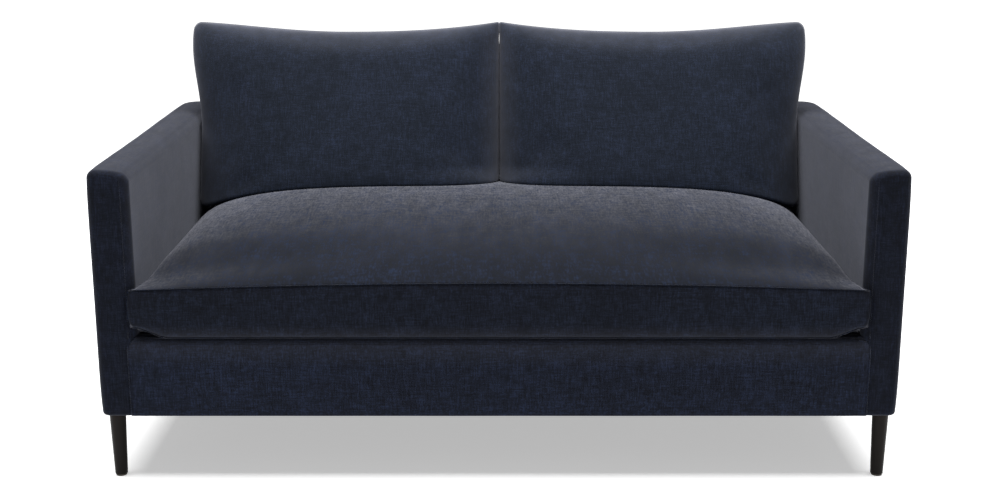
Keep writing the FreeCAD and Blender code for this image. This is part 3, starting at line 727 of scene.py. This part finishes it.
def ease_inner_edges(bm):
    """The padding thins towards the seat, so the top and the front fall away that way."""
    for vert in bm.verts:
        inward = max((ARM_OUTER - vert.co.x) / (ARM_OUTER - ARM_INNER), 0)
        near_top = smooth_step(vert.co.z, ARM_TOP - EASE_REACH, ARM_TOP)
        near_front = 1 - smooth_step(vert.co.y, FRONT, FRONT + EASE_REACH)
        above_deck = smooth_step(vert.co.z, DECK, DECK + EASE_OVER_DECK)
        to_rear = smooth_step(vert.co.y, FRONT + RISE_START, REAR)
        vert.co.z += near_top * (REAR_RISE * to_rear - TOP_FALL * inward ** 4)
        vert.co.y += FRONT_FALL * inward ** 4 * near_front * above_deck


def arm_seams(bm):
    """A ridge round the front panel, half sunk in the rounding of each edge."""
    outer_y = FRONT + ARM_EDGE * SEAM_SINK
    inner_y = FRONT + ARM_INNER_EDGE * SEAM_SINK
    right, top = ARM_OUTER - ARM_EDGE * SEAM_INSET, ARM_TOP - ARM_EDGE * SEAM_INSET
    left = ARM_INNER + ARM_INNER_EDGE * SEAM_INSET
    turn = ARM_SEAM_TURN
    path = [Vector((right, outer_y, z)) for z in steps(BODY_BOTTOM + SEAM_START, top - turn, 16)]
    for angle in steps(0, math.pi / 2, 5)[1:]:
        x, z = right - turn + turn * math.cos(angle), top - turn + turn * math.sin(angle)
        path.append(Vector((x, outer_y, z)))
    for angle in steps(0, math.pi / 2, 5):
        x, z = left + turn - turn * math.sin(angle), top - turn + turn * math.cos(angle)
        path.append(Vector((x, outer_y + (inner_y - outer_y) * angle * 2 / math.pi, z)))
    path += [Vector((left, inner_y, z)) for z in steps(top - turn, DECK, 12)[1:]]
    add_seam(bm, path, radius=ARM_SEAM_RADIUS)


def make_arm():
    """The right arm: a rounded block, swelled, seamed and eased towards the seat."""
    low = Vector((ARM_INNER, FRONT, BODY_BOTTOM))
    high = Vector((ARM_OUTER, REAR, ARM_TOP))
    bm = block(low, high)
    outer_rear = edges_where(bm, lambda p: near(p.x, ARM_OUTER) and near(p.y, REAR))
    round_edges(bm, outer_rear, REAR_CORNER, 14)
    inner_front = edges_where(bm, lambda p: near(p.x, ARM_INNER) and near(p.y, FRONT))
    round_edges(bm, inner_front, ARM_INNER_EDGE, 8)
    outer_front = edges_where(bm, lambda p: near(p.x, ARM_OUTER) and near(p.y, FRONT))
    top = edges_where(bm, lambda p: near(p.z, ARM_TOP))
    round_edges(bm, outer_front + top, ARM_EDGE, 7)
    bottom = edges_where(bm, lambda p: near(p.z, BODY_BOTTOM))
    round_edges(bm, bottom, ARM_FOOT_EDGE, 4)
    slice_all(bm, low, high, ARM_CELL)
    slice_along(bm, 0, ARM_INNER, ARM_OUTER, ARM_CELL / 3)
    swell(bm, arm_swell)
    arm_seams(bm)
    ease_inner_edges(bm)
    return bm


def mirror_mesh(bm):
    """Turn a right-hand piece into a left-hand one."""
    bmesh.ops.scale(bm, vec=(-1, 1, 1), verts=bm.verts)
    return bm


arm_right = finish_mesh(
    make_arm(), "arm_right", navy, "frame", ["arm_cover_right", "arm_padding_right"]
)
arm_left = finish_mesh(
    mirror_mesh(make_arm()), "arm_left", navy, "frame", ["arm_cover_left", "arm_padding_left"]
)

# %% [markdown]
# ## Front border and deck
#
# The border is a padded strip on the front rail, level with the arm fronts. It reaches a
# little past the arms' inner faces, where a seam joins it to each arm. The deck behind it
# is a flat cloth over felt, seen only when the seat cushion is out.

# %% Front border and deck
BORDER_REACH = 62 * MM
BORDER_END = ARM_OUTER - BORDER_REACH + 2 * MM
BORDER_EDGE = 13 * MM
SEAM_EDGE = 3 * MM
BORDER_BELLY = 6 * MM
ROLL_DEPTH = 52 * MM
ROLL_FALL = 6 * MM
BORDER_BACK = border_high.y
BORDER_CELL = 15 * MM
BORDER_WOBBLE = 0.2 * MM
LEAN_REACH = 40 * MM
END_SEAM_INSET = 1 * MM
END_SEAM_SINK = 0.5 * MM
END_SEAM_RADIUS = 1.0 * MM
END_SEAM_TOP = 14 * MM
DECK_THICKNESS = 12 * MM
DECK_CELL = 40 * MM
DECK_DIP = 1.5 * MM


def belly(x, z):
    """How far the padding stands forward: most in the middle, not at all at its seams."""
    return BORDER_BELLY * lobe(z, BODY_BOTTOM, DECK, 2) * (1 - abs(x / BORDER_END) ** 8)


def border_swell(place, normal):
    """The padding's belly, and a little unevenness."""
    forward = max(-normal.y, 0) * belly(place.x, place.z)
    return forward + soft_noise(place, 0.12, 7.7) * BORDER_WOBBLE


def lean_border(bm):
    """Above its middle the front leans back, where the cloth is pulled over the rail."""
    for vert in bm.verts:
        high = smooth_step(vert.co.z, DECK - ROLL_DEPTH, DECK + ROLL_DEPTH) * 2
        in_front = 1 - smooth_step(vert.co.y, FRONT, FRONT + LEAN_REACH)
        vert.co.y += ROLL_FALL * high ** 1.5 * in_front


def make_border():
    """The front border: a rolled strip with a ridge where it meets each arm."""
    low = Vector((-BORDER_END, FRONT, BODY_BOTTOM))
    high = Vector((BORDER_END, BORDER_BACK, DECK))
    bm = block(low, high)
    rolled = edges_where(bm, lambda p: near(p.z, DECK) and near(p.y, FRONT))
    round_edges(bm, rolled, BORDER_EDGE, 7)
    rolled_to = FRONT + BORDER_EDGE + NEAR
    ends = edges_where(bm, lambda p: near(abs(p.x), BORDER_END) and p.y < rolled_to)
    under = edges_where(bm, lambda p: near(p.z, BODY_BOTTOM) and near(p.y, FRONT))
    round_edges(bm, ends + under, SEAM_EDGE, 3)
    slice_all(bm, low, high, BORDER_CELL)
    swell(bm, border_swell)
    for end in (END_SEAM_INSET - BORDER_END, BORDER_END - END_SEAM_INSET):
        heights = steps(BODY_BOTTOM + SEAM_START, DECK - END_SEAM_TOP, 24)
        line = [Vector((end, FRONT - END_SEAM_SINK, z)) for z in heights]
        add_seam(bm, line, radius=END_SEAM_RADIUS)
    lean_border(bm)
    return bm


front_border = finish_mesh(
    make_border(), "front_border", navy_border, "frame", ["front_cover", "front_padding"]
)


def back_face_places():
    """Where the raked front face of the back lies at the deck and at the top."""
    points = [vert.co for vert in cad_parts["back_side_cover_right"].data.vertices]
    lowest = min(point.z for point in points)
    at_foot = min(point.y for point in points if near(point.z, lowest))
    at_top = min(point.y for point in points if near(point.z, BACK_TOP))
    slope = (at_top - at_foot) / (BACK_TOP - lowest)
    return at_foot + (DECK - lowest) * slope, at_top


def deck_dip(place, normal):
    """The deck sinks a little, unevenly, between its edges."""
    return -max(normal.z, 0) * DECK_DIP * abs(soft_noise(place, 0.2, 1.3))


def make_deck():
    """The deck cloth, from the border to the foot of the back."""
    low = Vector((-ARM_INNER, BORDER_BACK, deck_low.z - DECK_THICKNESS))
    high = Vector((ARM_INNER, max(deck_high.y, back_face_places()[0]), DECK))
    bm = block(low, high)
    slice_all(bm, low, high, DECK_CELL)
    swell(bm, deck_dip)
    return bm


deck = finish_mesh(
    make_deck(), "deck", deck_cloth, "frame", ["deck_cover", "deck_pad"]
)

# %% [markdown]
# ## The fixed back
#
# Between the arms stands a raked back. Its inside cover rolls over the top and is sewn to
# the outside cover along the rear edge. It is one block with a sloping front face, and the
# top edges are rounded over their foam.

# %% Fixed back
BACK_EDGE = 13 * MM
BACK_END_EDGE = 4 * MM
BACK_CELL = 30 * MM
BACK_SWELL = 3 * MM
BACK_WOBBLE = 0.6 * MM
WELT_RADIUS = 1.0 * MM
WELT_TURN = 8 * MM
WELT_START = 3 * MM


def make_back():
    """The fixed back: a raked block with a rolled top, welted along its rear edges."""
    low = Vector((-ARM_INNER, inside_low.y, BODY_BOTTOM))
    high = Vector((ARM_INNER, REAR, BACK_TOP))
    bm = block(low, high)
    at_deck, at_top = back_face_places()
    at_bottom = at_top - (at_top - at_deck) * (BACK_TOP - BODY_BOTTOM) / (BACK_TOP - DECK)
    for vert in bm.verts:
        if near(vert.co.y, low.y):
            vert.co.y = at_top if near(vert.co.z, BACK_TOP) else at_bottom
    top = edges_where(bm, lambda p: near(p.z, BACK_TOP))
    round_edges(bm, top, BACK_EDGE, 5)
    rear_ends = edges_where(bm, lambda p: near(abs(p.x), ARM_INNER) and near(p.y, REAR))
    round_edges(bm, rear_ends, BACK_END_EDGE, 3)
    slice_all(bm, low, high, BACK_CELL)
    swell(bm, back_swell)
    add_seam(bm, back_seam(), radius=WELT_RADIUS)
    return bm


def back_seam():
    """Where the outside back is sewn on: up one end, along the top and down the other."""
    side, top = ARM_INNER - BACK_END_EDGE * 0.35, BACK_TOP - BACK_EDGE * 0.35
    rear = REAR - BACK_END_EDGE * 0.30
    turn = WELT_TURN
    end = [Vector((side, rear, z)) for z in steps(BODY_BOTTOM + WELT_START, top - turn, 30)]
    for angle in steps(0, math.pi / 2, 4)[1:]:
        x, z = side - turn + turn * math.cos(angle), top - turn + turn * math.sin(angle)
        end.append(Vector((x, rear, z)))
    other_end = [Vector((-point.x, point.y, point.z)) for point in reversed(end)]
    middle = [Vector((x, rear, top)) for x in steps(side - turn, turn - side, 40)[1:-1]]
    return end + middle + other_end


def back_swell(place, normal):
    """The outside back stands a little proud in its middle."""
    across = lobe(place.x, -ARM_INNER, ARM_INNER, 6)
    upward = lobe(place.z, BODY_BOTTOM, BACK_TOP, 4)
    rearward = max(normal.y, 0) * across * upward * BACK_SWELL
    return rearward + soft_noise(place, 0.11, 5.5) * BACK_WOBBLE


fixed_back = finish_mesh(
    make_back(), "fixed_back", navy, "frame",
    ["inside_back_cover", "outside_back_cover", "back_side_cover_left", "back_side_cover_right",
     "back_padding", "back_top_padding"],
)

# %% [markdown]
# ## Seat cushion
#
# The bench cushion is boxed: a top and a bottom panel sewn to a border strip. Fibre round
# the foam crowns the top, steep near the side seams and flat across the middle, while the
# seams pull the front corners up off the deck. The block is cut fine and each vertex is
# moved by a formula for the height of the top and the bottom.

# %% Seat cushion
SEAT_NEAR = FRONT - 2 * MM
SEAT_FAR = seat_high.y
SEAT_HALF = seat_high.x
SEAT_SEAM = 92 * MM
SEAT_SEAM_FRONT = 118 * MM
SEAT_SEAM_CORNER = 103 * MM
CROWN = 100 * MM
PEAK_ALONG = 0.70
REAR_FALL = 16 * MM
CORNER_LIFT = 24 * MM
CORNER_FLARE = 12 * MM
FLARE_DEPTH = 20 * MM
BORDER_BULGE = 3 * MM
BORDER_FOOT = 8 * MM
FOOT_SET_BACK = 2.5 * MM
SEAT_CLEARANCE = 0.4 * MM
SEAT_CUTS = (84, 52, 9)
SEAT_PRESSURE = 5.0
SEAT_SWELL_CAP = 7 * MM
FREE_NOSE = 12 * MM
SIDE_CLEARANCE = 0.5 * MM


def spread(share):
    """Space the cuts closer near both ends, where the cloth turns."""
    return 0.35 * share + 0.65 * math.sin(share * math.pi / 2)


def cushion_grid(cuts):
    """A cube from -1 to 1, cut into cells that get smaller towards its edges."""
    bm = bmesh.new()
    bmesh.ops.create_cube(bm, size=2)
    for axis, count in enumerate(cuts):
        slice_along(bm, axis, -1, 1, 2 / count)
    for vert in bm.verts:
        vert.co.x = spread(vert.co.x)
        vert.co.y = spread(vert.co.y)
    return bm


def seat_top_height(across, along):
    """Height of the top panel above the deck."""
    side = SEAT_SEAM + (SEAT_SEAM_CORNER - SEAT_SEAM) * (1 - smooth_step(along, 0, 0.16))
    climb = 1 - (1 - min(along / PEAK_ALONG, 1)) ** 2.2
    fall = REAR_FALL * smooth_step(along, PEAK_ALONG, 1.0)
    middle = SEAT_SEAM_FRONT + (SEAT_SEAM + CROWN - SEAT_SEAM_FRONT) * climb - fall
    at_seam = 1 - across ** 2
    over_foam = (1 - abs(across) ** 4.2) ** 0.5
    shape = at_seam + (over_foam - at_seam) * smooth_step(along, 0, 0.3)
    return side + (middle - side) * shape


def seat_border_height(across, along):
    """Height of the border strip: the front seam at the front, the side seam elsewhere."""
    if along < 0.001 or along > 0.999:
        return seat_top_height(across, along)
    return seat_top_height(math.copysign(1, across), along)


def seat_lift(across, along):
    """How far the seams pull the bottom up at the front corners."""
    near_side = smooth_step(abs(across), 0.91, 1.0)
    near_front = 1 - smooth_step(along, 0.0, 0.06)
    return CORNER_LIFT * near_side * near_front


def seat_place(across, along, up):
    """The place of one point of the cushion, from shares of its width, depth and height."""
    on_side = abs(across) > 0.999
    on_front = along < 0.001
    bottom = DECK + SEAT_CLEARANCE + seat_lift(across, along)
    on_border = up < 1 and (on_side or on_front or along > 0.999)
    top = DECK + (seat_border_height if on_border else seat_top_height)(across, along)
    height = bottom + (top - bottom) * up
    belly = 1 - (2 * up - 1) ** 2
    depth = along * (SEAT_FAR - SEAT_NEAR)
    at_corner = smooth_step(abs(across), 0.93, 1.0)
    flare = CORNER_FLARE * max(1 - depth / FLARE_DEPTH, 0) ** 2 * at_corner
    x = across * SEAT_HALF + math.copysign(flare * (0.75 + 0.35 * belly), across)
    y = SEAT_NEAR + depth
    if on_front:
        y -= BORDER_BULGE * belly
    foot = max(1 - (height - bottom) / BORDER_FOOT, 0)
    if on_front:
        y += FOOT_SET_BACK * foot ** 2
    return Vector((x, y, height))


def make_seat():
    """The bench cushion, stuffed, with a ridge along each seam."""
    bm = cushion_grid(SEAT_CUTS)
    bm.normal_update()
    for face in bm.faces:
        face.material_index = 1 if abs(face.normal.z) < 0.5 else 0
    for vert in bm.verts:
        across, along, up = vert.co.x, (vert.co.y + 1) / 2, (vert.co.z + 1) / 2
        vert.co = seat_place(across, along, up)
    stuff(bm, "seat_cushion", seat_seam, SEAT_PRESSURE, SEAT_SWELL_CAP, seat_bounds)
    add_seat_seams(bm)
    return bm


def seat_seam(vert):
    """Whether a seam or the deck holds a vertex still."""
    flats = {tuple(round(part) for part in face.normal) for face in vert.link_faces}
    sharp = any(edge.calc_face_angle(0) > 0.7 for edge in vert.link_edges)
    return sharp or vert.co.z < DECK + 1 * MM or len(flats) > 2


def seat_bounds(place):
    """Keep the stuffed cushion between the arms, above the deck and before the back."""
    if place.y > FRONT + FREE_NOSE:
        half = ARM_INNER - SIDE_CLEARANCE
        place.x = max(-half, min(half, place.x))
    place.y = min(place.y, SEAT_FAR)
    place.z = max(place.z, DECK + SEAT_CLEARANCE)
    return place


def add_seat_seams(bm):
    """Ridges along the seams of the top and the bottom panel and up the front corners."""
    sides = steps(-1, 1, 90)
    depths = [spread(share * 2 - 1) / 2 + 0.5 for share in steps(0, 1, 60)]
    for up in (1, 0.012):
        front = [seat_place(share, 0, up) for share in sides]
        right = [seat_place(1, share, up) for share in depths[1:]]
        rear = [seat_place(-share, 1, up) for share in sides[1:]]
        left = [seat_place(-1, 1 - share, up) for share in depths[1:-1]]
        add_seam(bm, front + right + rear + left, closed=True)
    for end in (-1, 1):
        add_seam(bm, [seat_place(end, 0, up) for up in steps(0, 1, 10)])


seat_cushion = finish_mesh(
    make_seat(), "seat_cushion", navy_seat, "seat_cushion",
    ["seat_cushion_cover", "seat_cushion_wrap", "seat_cushion_foam"],
)
seat_cushion.data.materials.append(navy_strip)

# %% [markdown]
# ## Back cushions
#
# Each is a pillow of two panels sewn round their edge. Stuffing pushes the panels apart in
# the middle while the four corners stay long, so the top edge dips between two ears. The
# cushion leans on the back and sits on the crown of the seat.

# %% Back cushions
PILLOW_OUTER = ARM_INNER - 0.8 * MM
PILLOW_FLARE = 25 * MM
PILLOW_CORNER_HEIGHT = 134 * MM
REST_ALONG = 0.76
PILLOW_TOP = cad_high.z
EAR_DIP = 25 * MM
EAR_OUTER = 20 * MM
EAR_INNER = 5 * MM
FOOT_CORNER = 15 * MM
PILLOW_FRONT_BULGE = 112 * MM
PILLOW_FOOT = 705 * MM
PILLOW_HEAD = 838 * MM
PILLOW_GAP = 0.1 * MM
SLIT = 0.7 * MM
PILLOW_CUTS = (72, 48)
PILLOW_PRESSURE = 3.0
PILLOW_SWELL_CAP = 6 * MM
PILLOW_SEAM_RADIUS = 0.35 * MM
BACK_FACE_LOW, BACK_FACE_TOP = back_face_places()


def back_face_y(height):
    """Where the raked face of the fixed back lies at a height."""
    share = (height - DECK) / (BACK_TOP - DECK)
    return BACK_FACE_LOW + (BACK_FACE_TOP - BACK_FACE_LOW) * min(share, 1)


def pillow_inner(up):
    """Inner edge: the two cushions press together, with a slit below their ears."""
    return PILLOW_GAP + SLIT * lobe(up, 0.85, 0.94)


def pillow_outer(up):
    """Outer edge: held by the arm low down, spread over it above."""
    above_arm = smooth_step(up, 0.42, 0.88)
    narrowing = 1 - 0.12 * smooth_step(up, 0.90, 1.0)
    return PILLOW_OUTER + PILLOW_FLARE * above_arm * narrowing


def pillow_bottom(reach):
    """The cushion rests on the crown of the seat and spans the fall at its side."""
    crown = seat_top_height(reach, REST_ALONG) - 1 * MM
    return DECK + (crown ** 40 + PILLOW_CORNER_HEIGHT ** 40) ** (1 / 40)


def pillow_sides(across, up):
    """Fullness from the inner edge, which rolls slowly, to the outer, which turns fast."""
    inner = 3.6 + 2 * (1 - smooth_step(up, 0, 0.12))
    return (1 - abs(across) ** (inner if across < 0 else 8.0)) ** 0.5


def pillow_front(across, up):
    """How far the front panel stands before the seam."""
    closing = (1 - (1 - up) ** 280) ** 0.5 * (1 - up ** 16) ** 0.55
    return PILLOW_FRONT_BULGE * pillow_sides(across, up) * closing * (1 - 0.60 * up)


def pillow_rear(across, up, room):
    """How far the rear panel stands behind the seam, in the room before the back."""
    closing = (1 - (1 - up) ** 10) ** 0.5 * (1 - up ** 8) ** 0.55
    return room * (1 - abs(across) ** 9) ** 0.5 * closing


def pillow_dip(across):
    """How far the top edge has dipped: soon after the inner ear, slowly after the outer."""
    if across < 0:
        return 1 - abs(across) ** 2.4
    return math.cos(across * math.pi / 2) ** 1.45


def round_corner(from_side, from_end, radius):
    """How far a point near a square corner moves in from both edges to make it round."""
    past_side, past_end = radius - from_side, radius - from_end
    if past_side <= 0 or past_end <= 0:
        return 0, 0
    share = 1 - max(past_side, past_end) / math.hypot(past_side, past_end)
    return past_side * share, past_end * share


def pillow_place(across, up, side):
    """A point on the front (side -1) or rear (side 1) panel; across runs from inner to outer."""
    outer = (across + 1) / 2
    inner_x = pillow_inner(up)
    x = inner_x + (pillow_outer(up) - inner_x) * outer
    reach = min(x / PILLOW_OUTER, 1)
    bottom = pillow_bottom(reach)
    top = PILLOW_TOP - EAR_DIP * pillow_dip(across)
    z = bottom + (top - bottom) * up
    outer_x = pillow_outer(up)
    for edge_x, edge_z, radius in (
        (outer_x, top, EAR_OUTER), (inner_x, top, EAR_INNER), (outer_x, bottom, FOOT_CORNER),
    ):
        inward, level = round_corner(abs(edge_x - x), abs(edge_z - z), radius)
        x -= math.copysign(inward, edge_x - inner_x - 1 * MM)
        z -= math.copysign(level, edge_z - bottom - 1 * MM)
    seam_y = FRONT + PILLOW_FOOT + (PILLOW_HEAD - PILLOW_FOOT) * up
    if side < 0:
        y = seam_y - pillow_front(across, up)
    else:
        room = max(back_face_y(z) - 2 * MM - seam_y, 20 * MM)
        y = seam_y + pillow_rear(across, up, room)
    return Vector((x, y, z))


def pillow_edge():
    """The line of the seam round the cushion, from its lower inner corner."""
    along = [spread(share) for share in steps(-1, 1, 60)]
    upward = [(spread(share) + 1) / 2 for share in steps(-1, 1, 44)]
    line = [pillow_place(share, 0, -1) for share in along]
    line += [pillow_place(1, share, -1) for share in upward[1:]]
    line += [pillow_place(-share, 1, -1) for share in along[1:]]
    return line + [pillow_place(-1, 1 - share, -1) for share in upward[1:-1]]


def pillow_bounds(place):
    """Keep the stuffed cushion before the back, beside its neighbour and inside the arm."""
    place.x = max(place.x, PILLOW_GAP)
    if place.z < ARM_TOP:
        place.x = min(place.x, ARM_INNER - 0.6 * MM)
        place.y = min(place.y, back_face_y(place.z) - 1 * MM)
    return place


def make_pillow():
    """The right back cushion: two panels sewn round their edge, and stuffed."""
    bm = bmesh.new()
    x_cuts, y_cuts = PILLOW_CUTS
    for side in (-1, 1):
        made = bmesh.ops.create_grid(bm, x_segments=x_cuts, y_segments=y_cuts, size=1)
        for vert in made["verts"]:
            across, up = spread(vert.co.x), (spread(vert.co.y) + 1) / 2
            vert.co = pillow_place(across, up, side)
    edge = {tuple(round(part, 5) for part in place) for place in seam_places()}
    stuff(
        bm, "back_cushion", lambda vert: tuple(round(part, 5) for part in vert.co) in edge,
        PILLOW_PRESSURE, PILLOW_SWELL_CAP, pillow_bounds, full=True,
    )
    add_seam(bm, pillow_edge(), closed=True, radius=PILLOW_SEAM_RADIUS)
    return bm


def seam_places():
    """The places of the grid points that lie on the seam."""
    along = [spread(share) for share in steps(-1, 1, PILLOW_CUTS[0])]
    upward = [(spread(share) + 1) / 2 for share in steps(-1, 1, PILLOW_CUTS[1])]
    places = [pillow_place(share, end, -1) for share in along for end in (0, 1)]
    return places + [pillow_place(end, share, -1) for share in upward for end in (-1, 1)]


for side_name, turned in (("right", False), ("left", True)):
    shape = make_pillow()
    if turned:
        shape = mirror_mesh(shape)
    body = f"back_cushion_{side_name}"
    stands_for = [f"back_cushion_cover_{side_name}", f"back_cushion_filling_{side_name}"]
    pillow = finish_mesh(shape, f"back_cushion_{side_name}", navy_pillow, body, stands_for)

# %% [markdown]
# ## Floor and light
#
# The sofa stands in a white cove: a white floor that glows a little by itself, a white
# surround, and one large soft light overhead, so it has a soft shadow under it and no hard
# ones. The floor's glow is painted light that keeps that shadow pale.

# %% Floor and light
ROOM_LIGHT = 0.16
OVERHEAD_WATTS = 330
LAMP_HEIGHT = 3.3
LAMP_BACK = 0.05
LAMP_SIZE = (5.0, 2.6)
FLOOR_SIZE = 60

scene = bpy.context.scene
scene.view_settings.view_transform = "Standard"

# A white floor that glows by itself, painted light: a steady glow keeps the shadow under the
# sofa pale, and a stronger one away from the sofa melts the floor into the wall.
floor_material, floor_tree = new_material("glowing white cove")
oval = {0: object_place(floor_tree, (1429, 1000, 1000))}
length = {"operation": "LENGTH"}
far_off = add_node(floor_tree, "ShaderNodeVectorMath", length, oval).outputs["Value"]
fade = {"Value": far_off, "From Min": 0.75, "From Max": 2.2, "To Min": 0.455, "To Max": 1.0}
glow = add_node(floor_tree, "ShaderNodeMapRange", {}, fade).outputs[0]
surface(floor_tree, {
    "Base Color": (0.85, 0.85, 0.85, 1), "Roughness": 1.0, "Specular IOR Level": 0.0,
    "Emission Color": (1, 1, 1, 1), "Emission Strength": glow,
})

floor_bm = bmesh.new()
bmesh.ops.create_grid(floor_bm, x_segments=1, y_segments=1, size=FLOOR_SIZE / 2)
bmesh.ops.translate(floor_bm, vec=(0, 0, FLOOR), verts=floor_bm.verts)
floor_mesh = bpy.data.meshes.new("floor")
floor_bm.to_mesh(floor_mesh)
floor_bm.free()
floor_mesh.materials.append(floor_material)
floor = bpy.data.objects.new("floor", floor_mesh)
scene.collection.objects.link(floor)

world = bpy.data.worlds.new("white surround")
world.use_nodes = True
sky = world.node_tree
backdrop = sky.nodes["Background"]
backdrop.inputs["Color"].default_value = (1, 1, 1, 1)
backdrop.inputs["Strength"].default_value = 1.0
room = add_node(sky, "ShaderNodeBackground", {}, {"Color": (1, 1, 1, 1), "Strength": ROOM_LIGHT})
seen = add_node(sky, "ShaderNodeLightPath").outputs["Is Camera Ray"]
both = {0: seen, 1: room.outputs[0], 2: backdrop.outputs[0]}
chosen = add_node(sky, "ShaderNodeMixShader", {}, both)
sky.links.new(chosen.outputs[0], sky.nodes["World Output"].inputs["Surface"])
scene.world = world


def soft_light(name, place, target, size, watts):
    """A rectangular lamp at a place, turned to a target."""
    data = bpy.data.lights.new(name, "AREA")
    data.shape = "RECTANGLE"
    data.size, data.size_y = size
    data.energy = watts
    light = bpy.data.objects.new(name, data)
    light.location = place
    light.rotation_euler = (Vector(target) - Vector(place)).to_track_quat("-Z", "Y").to_euler()
    scene.collection.objects.link(light)
    print(name, "lamp:", watts, "W")


soft_light(
    "overhead", (0, LAMP_BACK, LAMP_HEIGHT), (0, LAMP_BACK, 0), LAMP_SIZE, OVERHEAD_WATTS
)
